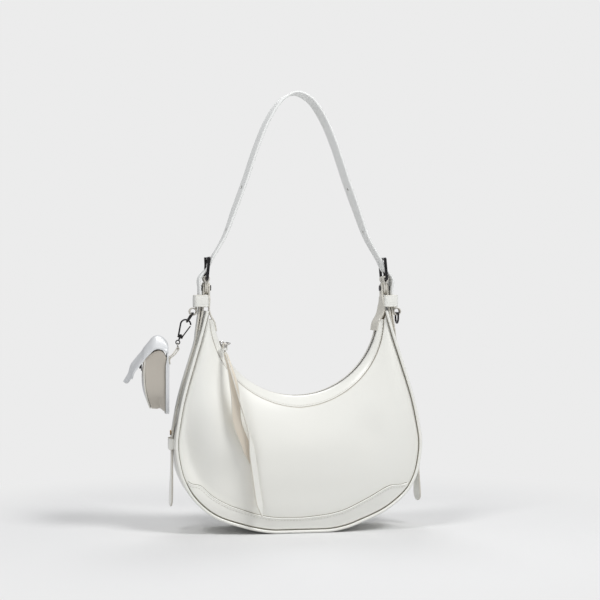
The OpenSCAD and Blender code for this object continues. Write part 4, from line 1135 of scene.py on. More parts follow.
@dataclass(frozen=True)
class Body:
    """Panels, gusset, piping, trims, linings and the pocket."""

    shop: Workshop
    form: BodyForm

    def build(self) -> None:
        """Make every piece of the body."""
        self.gusset()
        for face in Face:
            label = face.name.lower()
            self.panel(face, label)
            self.piping(face, label)
            self.trim(face, label)
            self.lining(face, label)
        self.pocket()

    def rows(self, count: int, top: float = 1.0) -> np.ndarray:
        """Rows of a panel, close together in the sewn margin.

        Args:
            count: rows above the margin.
            top: share of the panel at the last row.

        Returns:
            Shares for every column and row.
        """
        f = self.form.margin_share(COLUMNS)[:, None]
        low = f * np.linspace(0, 1, 5)[None, :-1]
        return np.concatenate([low, mix(f, top, np.linspace(0, 1, count)[None])], 1)

    def panel(self, face: Face, label: str) -> None:
        """Front or rear panel, swelling between its sewn margins.

        Args:
            face: which face.
            label: name of the face.
        """
        c, v = COLUMNS[:, None], self.rows(44)
        sheet = slab(self.form.panel(c, v), self.form.panel(c, v, -self.form.leather), 0.7)
        sheet = sheet.mirrored(y=-face.value)
        self.shop.piece(f"{label}_panel_leather", sheet, GRAINED, "bag", [f"{label}_panel"], "leather")

    def gusset(self) -> None:
        """Side gusset with its inward fold."""
        c, g = COLUMNS[:, None], np.linspace(-1, 1, 49)[None]
        sheet = slab(self.form.gusset(c, g), self.form.gusset(c, g, self.form.leather))
        self.shop.piece("gusset_leather", sheet, GRAINED, "bag", ["side_gusset"], "leather")

    def piping(self, face: Face, label: str) -> None:
        """Piping between panel and gusset, a leather-covered cord.

        Args:
            face: which face.
            label: name of the face.
        """
        f, c = self.form, COLUMNS
        p = f.outer(c)
        q = p - f.outward(c) * f.piping_r
        y = f.gusset_half(p[:, 1]) + f.leather + f.gap + f.piping_r
        path = np.column_stack([q[:, 0], face.value * y, q[:, 1]])
        cord = tube(path, ACROSS, f.piping_r)
        self.shop.piece(f"{label}_piping_cord", cord, ("white",), "bag", [f"{label}_piping"], "leather")
        inner = p - f.outward(c) * (2 * f.piping_r + 0.15)
        # Dark cord in the groove between the piping and the panel: painted shade for the groove's shadow.
        line = tube(np.column_stack([inner[:, 0], face.value * (y - f.piping_r + 0.3), inner[:, 1]]), ACROSS, 0.5, 8)
        self.shop.piece(f"{label}_piping_seam", line, ("seam",), "bag")

    def trim(self, face: Face, label: str) -> None:
        """Scalloped trim over the foot of a panel, with a row of stitches below its upper edge.

        Args:
            face: which face.
            label: name of the face.
        """
        f = self.form
        c = np.linspace(*f.trim_ends, 221)
        top, low = self.trim_share(c), f.margin_share(c)
        v = mix(low[:, None], top[:, None], np.linspace(0, 1, 22)[None])
        sheet = slab(f.panel(c[:, None], v, f.gap + f.trim_t), f.panel(c[:, None], v, f.gap), 0.55)

        def line(q: np.ndarray, offset: float) -> np.ndarray:
            """Points of the seam line, and of a line beside it."""
            cc = at(c[:, None], q)[:, 0]
            return f.panel(cc, self.trim_share(cc) - (2.4 - offset) / f.span(cc), f.gap + f.trim_t)

        seam = seam_on(line, np.linspace(0, 220, 550), inset=4.0)
        mirror = -face.value
        self.shop.piece(f"{label}_trim_leather", sheet.mirrored(y=mirror), ("white", "edge"), "bag",
                        [f"{label}_base_trim"], "leather")  # fmt: skip
        self.shop.piece(f"{label}_trim_stitches", seam.mirrored(y=mirror), ("thread",), "bag")
        roll = tube(f.panel(c, top - 0.5 / f.span(c), f.gap + 0.8), ACROSS, 0.8, 12)
        self.shop.piece(f"{label}_trim_roll", roll.mirrored(y=mirror), ("white",), "bag")
        # Dark cord just above the trim's edge: painted shade where the raised edge shades the panel.
        shadow = tube(f.panel(c, top + 0.45 / f.span(c), 0.2), ACROSS, 0.26, 8)
        self.shop.piece(f"{label}_trim_seam", shadow.mirrored(y=mirror), ("seam",), "bag")

    def trim_share(self, c: np.ndarray) -> np.ndarray:
        """Share of the panel that the trim covers.

        Args:
            c: columns.

        Returns:
            The shares.
        """
        f = self.form
        share = f.trim_h * smooth_at(f.trim_heights, c + len(f.trim_heights) / 2) / f.span(c)
        return np.maximum(share, 1.2 * f.margin_share(c))

    def lining(self, face: Face, label: str) -> None:
        """Lining behind a panel.

        Args:
            face: which face.
            label: name of the face.
        """
        f = self.form
        c = np.linspace(-20, 20, 81)[:, None]
        v = mix(f.margin_share(c), 0.95, np.linspace(0, 1, 20)[None])
        lift = -(f.leather + f.gap)
        sheet = slab(f.panel(c, v, lift), f.panel(c, v, lift - f.cloth))
        self.shop.piece(f"{label}_lining_cloth", sheet.mirrored(y=-face.value), ("lining",), "bag",
                        [f"{label}_lining"], "lining")  # fmt: skip

    def pocket(self) -> None:
        """Slip pocket on the rear lining: held at its sides and foot, slack at its open top."""
        f = self.form
        s = np.linspace(-1, 1, 41)[:, None]
        t = np.linspace(0, 1, 21)[None]
        span = f.span(0.0)
        v = (f.pocket_foot + f.pocket_h * t) / span + 0 * s
        c = np.zeros_like(v)
        low, high = np.zeros_like(v), np.full_like(v, LAST)
        for _ in range(16):
            c = (low + high) / 2
            less = mix(f.outer(c)[..., 0], f.seam(c)[..., 0], v) < f.pocket_half * np.abs(s)
            low, high = np.where(less, c, low), np.where(less, high, c)
        slack = 4 * (1 - s**2) * t**1.5
        lift = f.leather + f.cloth + 2.5 * f.gap + slack
        c = c * np.sign(s)
        sheet = slab(f.panel(c, v, -lift), f.panel(c, v, -lift - f.cloth), 0.25)
        self.shop.piece("pocket_cloth", sheet.mirrored(y=-1), ("lining",), "bag", ["inner_pocket"], "lining")


@dataclass(frozen=True)
class Crown:
    """The rounded facings beside the zip and the zip's tapes."""

    shop: Workshop
    form: BodyForm

    def grid(self, c: np.ndarray, s: np.ndarray, depth: float = 0.0) -> np.ndarray:
        """Grid of points of the front facing.

        The radius and the half width run on smooth curves over four knots:
        the seam, the shoulder, the flat crown and the lip at the zip.

        Args:
            c: columns, one for each row.
            s: stations across, from 0 at the seam to 3 at the lip.
            depth: distance below the grain side.

        Returns:
            The grid.
        """
        f = self.form
        seam_r, seam_y = f.seam_r(c), f.mouth_half(c) - f.gap
        lip_r, crown = f.zip_r + 0 * c, f.crown_half
        radii = np.stack([seam_r, mix(seam_r, f.zip_r, 0.6), lip_r, lip_r])
        flat = np.minimum(crown, 0.98 * seam_y)
        widths = np.stack([seam_y, mix(seam_y, crown, 0.5), flat, f.slot_half + 0 * c])
        r, y = smooth_at(radii, s).T, smooth_at(widths, s).T
        p = f.zip_arc(c[:, None], np.maximum(r, f.zip_r) + depth)
        return np.stack([p[..., 0], -y, p[..., 1]], -1)

    def build(self) -> None:
        """Make the facings with their stitches, and the tapes."""
        f = self.form
        s = np.linspace(0, 3, 25)
        top, low = self.grid(COLUMNS, s), self.grid(COLUMNS, s, f.facing)
        sheet = slab(top, low, 0.5)
        foot = top[:, 0] + (top[:, 0] - top[:, 1]) * 0.15
        # Dark cord along the facing's foot: painted shade in the groove at the seam.
        groove = tube(foot, ACROSS, 0.4, 8)
        seams = []
        for row in (2, 19):
            line, beside = top[:, row], top[:, row + 1]
            along = tangents(line)
            out = np.cross(unit(beside - line), along)
            k = evenly(line, 3.1, 6.0)
            seams.append(stitches(at(line, k), at(along, k), at(out, k)))
        seam = joined(seams)
        a = np.radians(np.linspace(-f.tape_end, f.tape_end, 147))[:, None]
        y = np.linspace(0.6, 7.5, 9)[None]

        def tape_at(r: float) -> np.ndarray:
            """Points of the tape at radius r."""
            return np.stack(np.broadcast_arrays(r * np.sin(a), -y, f.zip_z - r * np.cos(a)), -1)

        tape = slab(tape_at(f.tape_r), tape_at(f.tape_r + f.cloth))
        for face in Face:
            label, m = face.name.lower(), -face.value
            self.shop.piece(f"{label}_facing_leather", sheet.mirrored(y=m), GRAINED, "bag",
                            [f"{label}_facing"], "leather")  # fmt: skip
            self.shop.piece(f"{label}_facing_stitches", seam.mirrored(y=m), ("thread",), "bag")
            self.shop.piece(f"{label}_facing_seam", groove.mirrored(y=m), ("seam",), "bag")
            self.shop.piece(f"{label}_tape_cloth", tape.mirrored(y=m), ("tape",), "bag",
                            [f"{label}_zip_tape"], "zip_tape")  # fmt: skip


# Tips, belts and strap


@dataclass(frozen=True)
class TipForm:
    """Places shared by the tabs, keepers, belts and strap of the right tip."""

    tab_x: float = 94.0
    pivot_z: float = 249.5
    tab_t: float = 1.8
    stack: float = 0.3
    ear_r: float = 5.5
    end_r: float = 7.0
    half: float = 9.0
    keeper_low: float = 229.65
    keeper_h: float = 12.5
    keeper_x: float = 93.7
    keeper_in: float = 11.5
    bar_z: float = 258.95
    bar_r: float = 1.5
    tab_low: float = 205.66

    @property
    def inner_x(self) -> float:
        """Place of the inner ear."""
        return self.tab_x - 1.5 * self.tab_t - self.stack

    @property
    def outer_x(self) -> float:
        """Place of the outer ear."""
        return self.tab_x + 1.5 * self.tab_t + self.stack


def round_end(z: np.ndarray, centre: float, radius: float, flat: float) -> np.ndarray:
    """Half width of a tab whose end is a half circle.

    Args:
        z: heights along the tab.
        centre: height of the circle's centre.
        radius: its radius.
        flat: half width away from the end.

    Returns:
        The half widths.
    """
    cap = np.sqrt(np.maximum(radius**2 - (z - centre) ** 2, 0.3))
    return np.where(z > centre, np.minimum(flat, cap), flat)


@dataclass(frozen=True)
class Tips:
    """Fixed tabs, keepers, loops for the rings and the buckle tabs, the same on both hands."""

    shop: Workshop
    form: BodyForm
    tip: TipForm

    def build(self) -> None:
        """Make both tips."""
        for hand in Hand:
            label, m = hand.name.lower(), hand.value
            self.tabs(label, m)
            self.keeper(label, m)
            self.loop(label, m)
            self.buckle_tab(label, m)

    def tabs(self, label: str, m: int) -> None:
        """Inner and outer fixed tabs with rows of stitches across.

        Args:
            label: name of the hand.
            m: sign of X.
        """
        t = self.tip
        top = t.pivot_z + t.ear_r
        inner = [(t.inner_x, top), (t.inner_x, 231.2), (89.6, 222.5), (85.0, 213.5), (83.4, 205)]
        low = self.form.edge_x(t.tab_low) + 1.2
        outer = [(t.outer_x, top), (t.outer_x, 242.15), (t.outer_x + 0.9, 228.15), (low, 205.7)]
        for name, knots, flip, rows in (("inner", inner, 1, (6, 27, 47)), ("outer", outer, -1, ())):
            path = flat_path(smooth_path(knots, 90))
            z = path[:, 2]
            half = round_end(z, t.pivot_z, t.ear_r, t.ear_r)
            half = mix(t.half - 0.2, half, ease((z - 239.6) / 1.6))
            turn = np.radians((-12 if m > 0 else -6) if name == "inner" else 0) * ease((238 - z) / 12)
            across = np.column_stack([np.sin(turn), np.cos(turn), 0 * z])
            strip = ribbon(path, across, half, t.tab_t, Section(groove=0.12, groove_at=1.6), flip=flip)
            self.shop.piece(f"{label}_{name}_tab_leather", strip.mirrored(x=m), ("white", "edge"), "bag",
                            [f"{label}_{name}_tab"], "leather")  # fmt: skip
            along = tangents(path)
            seams = []
            for row in rows:
                z_row = 205 + row * 0.8
                k = np.interp(-z_row, -z, np.arange(len(z)))
                p, d, w = (at(rows_of, np.array([k])) for rows_of in (path, along, across))
                n = unit(np.cross(d, w)) * flip
                seams.append(stitches(p + n * 1.02 + np.linspace(-7.2, 7.2, 6)[:, None] * w,
                                      np.tile(w, (6, 1)), np.tile(n, (6, 1)), 2.0, 0.3))  # fmt: skip
            if seams:
                rows_of_thread = joined(seams).mirrored(x=m)
                self.shop.piece(f"{label}_{name}_tab_stitches", rows_of_thread, ("thread",), "bag")

    def keeper(self, label: str, m: int) -> None:
        """Keeper round the belt, the strap's tail and both tabs, a band whose corners are rounded.

        Args:
            label: name of the hand.
            m: sign of X.
        """
        t = self.tip
        x0, x1, y1, r = t.keeper_x - 0.75, t.keeper_x + t.keeper_in + 0.75, 10.75, 2.2
        corners = [(x1 - r, y1 - r), (x0 + r, y1 - r), (x0 + r, r - y1), (x1 - r, r - y1)]
        loop = np.vstack([arc(c, r, 90 * k, 90 * k + 90, 8) for k, c in enumerate(corners)])
        loop = np.vstack([loop, loop[:1]])
        loop = at(loop, evenly(loop, 0.9)[:-1])
        z = t.keeper_low + t.keeper_h / 2
        path = np.column_stack([loop, np.full(len(loop), z)])
        band = ribbon(path, UP, t.keeper_h / 2, 1.5, Section(0.15, 0.12, 1.5), closed=True)
        self.shop.piece(f"{label}_tip_keeper_leather", band.mirrored(x=m), GRAINED, "bag",
                        [f"{label}_tip_keeper"], "leather")  # fmt: skip

    def loop(self, label: str, m: int) -> None:
        """Small leather loop that holds the ring.

        Args:
            label: name of the hand.
            m: sign of X.
        """
        x, z, r = 107.53, 225.1, 3.5
        turn = arc((x, z), r, 180, 505, 40)
        lead = np.column_stack([np.full(12, 104.05), np.linspace(239, z + 1, 12)])
        strip = ribbon(flat_path(np.vstack([lead, turn])), ACROSS, 3.9, 1.35, Section(0.05), flip=-1)
        # The loop's beige finish is painted shade: the tan tone of shaded leather.
        self.shop.piece(f"{label}_ring_loop_leather", strip.mirrored(x=m), ("shade_beige", "edge", "shade_beige"), "bag",
                        [f"{label}_ring_loop"], "leather")  # fmt: skip

    def buckle_tab(self, label: str, m: int) -> None:
        """Tab folded round the buckle's bar, with a slot for the prong and a row of stitches.

        Args:
            label: name of the hand.
            m: sign of X.
        """
        t = self.tip
        r = t.bar_r + 0.06 + 0.85
        foot, high = t.pivot_z - t.end_r, t.bar_z - 3.4
        gap = 0.89
        up = np.column_stack([np.full(16, t.tab_x - gap), np.linspace(foot, high, 16)])
        knots = [(t.tab_x - gap, high), (t.tab_x - 1.9, high + 1.6), (t.tab_x - r, t.bar_z)]
        over = smooth_path(knots, 8)[1:-1]
        down = over[::-1] * (-1, 1) + (2 * t.tab_x, 0)
        bend = arc((t.tab_x, t.bar_z), r, 180, 0, 20)
        path = flat_path(np.vstack([up, over, bend, down, up[::-1] * (-1, 1) + (2 * t.tab_x, 0)]))
        z = path[:, 2]
        cap = np.sqrt(np.maximum(t.end_r**2 - np.minimum(z - t.pivot_z, 0) ** 2, 0.3))
        half = mix(cap, t.half, ease((z - 253) / 4))
        strip = ribbon(path, ACROSS, half, 1.7, Section(0.06, 0.1, 1.6), flip=-1)
        slot = slab(*self.block((t.tab_x - 9, -1.9, t.bar_z - 2.8), (t.tab_x + 9, 1.9, t.bar_z + 9)))
        self.shop.piece(f"{label}_buckle_tab_leather", strip.mirrored(x=m), ("white", "edge", "edge"), "strap",
                        [f"{label}_buckle_tab"], "leather", cuts=[slot.mirrored(x=m)])  # fmt: skip

    @staticmethod
    def block(low: tuple, high: tuple) -> list:
        """Two faces of a block, as grids.

        Args:
            low: lowest corner.
            high: highest corner.

        Returns:
            The grids at its two ends along X.
        """
        y, z = np.meshgrid(np.linspace(low[1], high[1], 3), np.linspace(low[2], high[2], 3), indexing="ij")
        return [np.stack([np.full_like(y, x), y, z], -1) for x in (low[0], high[0])]


@dataclass(frozen=True)
class Belts:
    """Side belts over the gusset, their keepers and their hanging tails."""

    shop: Workshop
    form: BodyForm
    tip: TipForm

    def build(self) -> None:
        """Make the belts of both hands."""
        path = flat_path(self.path())
        strip = ribbon(path, ACROSS, 7.0, 1.8, Section(0.15, 0.14, 1.8), flip=-1)
        along = tangents(path)
        out = -np.cross(along, ACROSS)
        k = evenly(path, 3.2, 14.0)
        seams = [
            stitches(at(path, k) + at(out, k) * 0.98 + (0, y, 0), at(along, k), at(out, k), 2.1, 0.3)
            for y in (-5.2, 5.2)
        ]
        keeper = self.keeper()
        for hand in Hand:
            label, m = hand.name.lower(), hand.value
            self.shop.piece(f"{label}_belt_leather", strip.mirrored(x=m), ("back", "edge", "white"), "bag",
                            [f"{label}_side_belt"], "leather")  # fmt: skip
            self.shop.piece(f"{label}_belt_stitches", joined(seams).mirrored(x=m), ("thread",), "bag")
            self.shop.piece(f"{label}_belt_keeper_leather", keeper.mirrored(x=m), GRAINED, "bag",
                            [f"{label}_belt_keeper"], "leather")  # fmt: skip
            self.tail(label, m)

    def path(self) -> np.ndarray:
        """Middle line of the right belt, from the keeper at the tip down to its own keeper.

        Returns:
            Rows of x and z.
        """
        f = self.form
        c = np.arange(LAST, 8, -0.25)
        p = f.outer(c)
        keep = (p[:, 1] > 86.4) & (p[:, 1] < 0.86 * f.height)
        low = p[keep] + f.outward(c[keep]) * 1.5
        top = np.array([(100.6, 238.95), (100.9, 229.35)])
        tab = (f.edge_x(self.tip.tab_low) + 1.8 + 0.9 + 0.9, self.tip.tab_low)
        head = smooth_path(np.vstack([top, [tab], low[:9:8]]), 60)
        return np.vstack([head, low[9:], [(129.185, 86.4)]])

    def keeper(self) -> Solid:
        """Keeper of the belt, a band sewn to the gusset at both ends.

        Returns:
            The solid.
        """
        x0, x1, y1, r = 128.0, 131.835, 8.25, 1.6
        right = np.vstack([arc((x1 - r, r - y1), r, 270, 360, 8), arc((x1 - r, y1 - r), r, 0, 90, 8)])
        line = np.vstack([[(x0, -y1)], right, [(x0, y1)]])
        line = at(line, evenly(line, 0.7))
        path = np.column_stack([line, np.full(len(line), 90.0)])
        return ribbon(path, UP, 6.0, 1.5, Section(0.2, 0.1, 1.4), flip=1)

    def tail(self, label: str, m: int) -> None:
        """Hanging tail, wider towards its round end; each one is turned a little to the right.

        Args:
            label: name of the hand.
            m: sign of X.
        """
        x, top, pivot, length = 129.185, 93.5, 82.66, 57.0
        z = np.linspace(top, pivot - length, 96)
        s = np.clip((pivot - z) / length, 0, 1)
        end_r = 8.68
        half = mix(5.6, end_r, np.minimum(1, s * length / (length - end_r)))
        low = pivot - length + end_r
        half = np.where(z < low, np.sqrt(np.maximum(end_r**2 - (low - z) ** 2, 0.6)), half)
        turn = np.radians(4 if m < 0 else 9) * -m * ease(s * 1.15)
        path = np.column_stack([x + 1.2 * s**2, 0 * z, z])
        across = np.column_stack([np.sin(turn), np.cos(turn), 0 * z])
        strip = ribbon(path, across, half, 1.8, Section(0.15, 0.14, 1.8), flip=-1)
        self.shop.piece(f"{label}_belt_tail_leather", strip.mirrored(x=m), ("white", "edge", "white"), "bag",
                        [f"{label}_belt_tail"], "leather",
                        (f"{label}_belt_tail", (x * m, 0, 85.5), (x * m, 0, 79.5)))  # fmt: skip


@dataclass(frozen=True)
class Strap:
    """Shoulder strap with its holes and slots."""

    shop: Workshop
    tip: TipForm

    def path(self) -> np.ndarray:
        """Middle line of the strap from the left tail over the top to the right tail.

        Returns:
            Rows of x and z.
        """
        shares = np.array([(0, 1), (0.11, 0.982), (0.22, 0.934), (0.35, 0.826), (0.475, 0.672), (0.6, 0.482),
                           (0.73, 0.3), (0.85, 0.135)])  # fmt: skip
        foot_x, foot_z, top_z, tail_x = 87.97, 279.87, 452.0, 100.95
        arch = np.column_stack([shares[:, 0] * foot_x, mix(foot_z, top_z, shares[:, 1])])
        low = [(foot_x, foot_z), (93.2, 269.4), (tail_x, 259.43), (tail_x, self.tip.pivot_z), (tail_x, 242.5)]
        knots = np.vstack([arch, low])
        knots = np.vstack([knots[:0:-1] * (-1, 1), knots])
        line = smooth_path(knots, 521)
        end = np.array([(tail_x, 239.4)])
        return np.vstack([end * (-1, 1), line, end])

    def build(self) -> None:
        """Make the strap, turned a little to the front.
        """
        line = self.path()
        path = flat_path(line)
        z, x = path[:, 2], np.abs(path[:, 0])
        half = np.where(x > 99, mix(9.3, 11.0, ease((z - 243) / 16)), 11.0)
        turn = np.radians(7) * ease((z - 285) / 60)
        across = np.column_stack([-np.sin(turn), np.cos(turn), 0 * z])
        strap = ribbon(path, across, half, 2.4, Section(0.3, 0.0, 2.0, 7), flip=-1)
        cuts, rims = [], []
        around = np.radians(np.arange(0, 360, 15))[:, None]
        for m in (-1, 1):
            for hole_z in (353.0, 308.9):
                k = np.argmin(np.abs(z - hole_z) + 1e3 * (np.sign(path[:, 0]) != m))
                d = tangents(path)[k]
                n = np.cross(d, ACROSS)
                # Dark ring in each hole: painted shade for the hole's shaded inside.
                rim = path[k] + 1.72 * (np.cos(around) * d + np.sin(around) * ACROSS)
                rims.append(ribbon(rim, n, 1.15, 0.16, Section(0.05), closed=True))
                rod = np.array([path[k] - 5 * n, path[k] + 5 * n])
                cuts.append(tube(rod, ACROSS, 1.8, 20))
            slot = slab(*Tips.block((93 - 8, -1.75, 261.0), (93 + 12, 1.75, 277.8)))
            cuts.append(slot.mirrored(x=m))
        self.shop.piece("shoulder_strap_leather", strap, ("strap",), "bag", ["shoulder_strap"],
                        "leather", ("strap", (0, 0, 243.0), (0, 0, 256.0)), cuts)  # fmt: skip
        self.shop.piece("strap_hole_shade_rims", joined(rims), ("seam",), "strap")


@dataclass(frozen=True)
class Pull:
    """Zip pull: a knot round the ring and two tails of different length."""

    shop: Workshop
    hang: tuple = (-76.738, -19.0, 190.834)
    lift_z: float = 184.034
    drop: float = 165.2
    run: float = 36.0
    half: float = 4.5

    def middle(self, f: np.ndarray) -> np.ndarray:
        """Middle line of the tails.

        It swings out from the knot by the power 2.6 and then hangs in a slight bow.

        Args:
            f: shares of the tail's length.

        Returns:
            Points.
        """
        swing = (1 - np.clip(f / 0.36, 0, 1)) ** 2.6
        bow = 3.2 * np.exp(-(((f - 0.5) / 0.2) ** 2)) - 1.4 * ease((f - 0.7) / 0.25)
        x = self.hang[0] + self.run * f + bow
        return np.column_stack([x, -45 + 26 * swing, self.lift_z - self.drop * f])

    def build(self) -> None:
        """Make the knot and the tails."""
        x, y, z = self.hang
        r = 1.62
        left = np.column_stack([np.full(8, -r), np.linspace(-4.4, 0, 8)])
        right = left[::-1] * (-1, 1)
        path = flat_path(np.vstack([left[:-1], arc((0, 0), r, 180, 0, 17), right[1:]]) + (x, z), y)
        knot = ribbon(path, ACROSS, 2.7, 1.4, Section(0.05), flip=-1)
        a = np.linspace(0, 2 * math.pi, 33)[:-1]
        wrap_path = np.column_stack([2.2 * np.cos(a) + x, 3.0 * np.sin(a) + y, np.full(len(a), z - 3.9)])
        wrap = ribbon(wrap_path, UP, 1.3, 1.0, Section(0.05), closed=True)
        self.shop.piece("pull_knot_leather", joined([knot, wrap]), GRAINED, "pull_hang", ["pull_knot"], "leather")
        self.tail("long", 1.0, 0.0, 0.9, 0.0, GRAINED)
        # The short tail's beige grain finish is painted shade: the tone the tail shows where it hangs in shade.
        self.tail("short", 0.67, 1.0, 0.0, -0.85, ("shade_beige", "edge", "back"))

    def tail(self, label: str, length: float, wander: float, turn: float, lift: float, looks: tuple) -> None:
        """One tail: a strip that ends in a slanted point.

        Args:
            label: name of the tail.
            length: share of the pull's length.
            wander: how far it swings away from the other tail.
            turn: part of a right angle by which it is turned where it leaves the knot.
            lift: distance in front of the middle line.
            looks: finishes.
        """
        f = np.linspace(-0.02, length, 150)
        path = self.middle(np.maximum(f, 0))
        path[:, 2] = self.lift_z - self.drop * f
        across = unit(np.array([172.0, 0, self.run]))
        normal = np.cross(tangents(path), across)
        normal *= -np.sign(normal[:, 1:2])
        path = path + normal * (0.65 + lift)
        away = 5.0 * np.exp(-(((f - 0.43) / 0.12) ** 2)) + 3.5 * ease((f - 0.1) / 0.3)
        path = path - across * (wander * away)[:, None]
        a = turn * math.pi / 2 * mix(0.5, 1, ease((0.64 - f) / 0.18))
        across = np.cos(a)[:, None] * across - np.sin(a)[:, None] * normal
        half = self.half * ease((f + 0.03) / 0.06) * 0.55 + self.half * 0.45 * ease((f - 0.02) / 0.2)
        tip = np.clip((length - f) / 0.075, 0, 1)
        half = half * np.maximum(0.1, tip**0.8)
        strip = ribbon(path, across, half, 1.3, Section(0.05), flip=1)
        x, y, _ = self.hang
        bend = ("pull", (x, y, self.lift_z + 1.2), (x, y, self.lift_z - 5))
        self.shop.piece(f"pull_{label}_tail_leather", strip, looks, "pull_hang",
                        [f"pull_{label}_tail"], "leather", bend)  # fmt: skip


# The pouch


@dataclass(frozen=True)
class PouchForm:
    """Shape of the pouch in its own frame: back at x = 0, front towards +x, top of the back at z = 0."""

    half_w: float = 33.0
    height: float = 66.0
    depth: float = 24.0
    leather: float = 1.5
    gap: float = 0.25
    turn: float = 176.0
    place: tuple = (-133.0, 0.0, 188.0)
    shoulder: float = 9.0
    straight: float = 0.38
    round_power: float = 0.55
    foot_power: float = 0.75
    swell: float = 2.2
    ear_rise: float = 7.6
    ears: tuple = ((0, 0), (0.2, 0.86), (0.45, 1), (0.75, 0.55), (1, 0))
    reach: float = 42.0
    rise: float = 13.0
    fall: float = 25.0
    droop: float = 11.0
    end_droop: float = 0.34
    flap: tuple = (
        (0, 0), (0.007, 0.35), (0.067, 0.68), (0.163, 0.92), (0.271, 1), (0.379, 0.85), (0.487, 0.44),
        (0.612, -0.06), (0.743, -0.36), (0.873, -0.656), (1, -1),
    )  # fmt: skip

    def front_x(self, z: np.ndarray) -> np.ndarray:
        """Depth of the pouch at height z below its top, by a square of the height.

        Args:
            z: heights.

        Returns:
            The depths.
        """
        f = -z / self.height
        return self.depth * (0.9 + 0.42 * f - 0.62 * f * f)

    @staticmethod
    def foot_lift(z: np.ndarray) -> np.ndarray:
        """Rise of the front's foot above the back's.

        Args:
            z: heights.

        Returns:
            The rises.
        """
        return 4.2 * ease((-z - 36) / 28)

    def half(self, z: np.ndarray) -> np.ndarray:
        """Half width at height z: straight above, then round by the powers of the rim.

        Args:
            z: heights.

        Returns:
            The half widths.
        """
        f = np.maximum(0, (-z / self.height - self.straight) / (1 - self.straight))
        return self.half_w * np.maximum(0, 1 - f ** (2 / self.foot_power)) ** (self.round_power / 2)

    def shoulder_drop(self, s: np.ndarray) -> np.ndarray:
        """Drop of the back's top edge below its middle.

        Args:
            s: places across, from -1 to 1.

        Returns:
            The drops.
        """
        return self.shoulder * (1 - (1 - np.minimum(np.abs(s), 1) ** 4.444) ** 0.225)

    def rim(self) -> tuple:
        """Rim from the right shoulder round the foot to the left shoulder, and its inward direction.

        Returns:
            Rows of y and z, and unit vectors.
        """
        t = np.linspace(0, math.pi, 97)
        y = self.half_w * np.sign(np.cos(t)) * np.abs(np.cos(t)) ** self.round_power
        low = self.straight + (1 - self.straight) * np.sin(t) ** self.foot_power
        side = np.column_stack([np.full(9, self.half_w), np.linspace(-self.shoulder, -self.straight * self.height, 9)])
        line = np.vstack([side[:-1], np.column_stack([y, -self.height * low])[1:-1], side[-2::-1] * (-1, 1)])
        line = at(line, evenly(line, 1.4))
        d = tangents(line)
        return line, np.column_stack([d[:, 1], -d[:, 0]])

    def flap_line(self, f: np.ndarray) -> tuple:
        """Middle line of the flap, carried on straight beyond 1.

        Args:
            f: shares of the flap's length.

        Returns:
            Points of x and z, and normals.
        """

        def line(g: np.ndarray) -> np.ndarray:
            """Points on the curve."""
            p = smooth_at(self.flap, g * (len(self.flap) - 1))
            z = 0.35 + np.where(p[..., 1] > 0, p[..., 1] * (self.rise - 0.35), p[..., 1] * self.fall)
            return np.stack([self.reach * p[..., 0], z], -1)

        g = np.minimum(f, 1)
        d = unit(line(np.minimum(1, g + 0.02)) - line(np.maximum(0, g - 0.02)))
        beyond = (line(np.array(1.0)) - line(np.array(0.95))) * (np.maximum(f - 1, 0) / 0.05)[..., None]
        return line(g) + beyond, np.stack([-d[..., 1], d[..., 0]], -1)


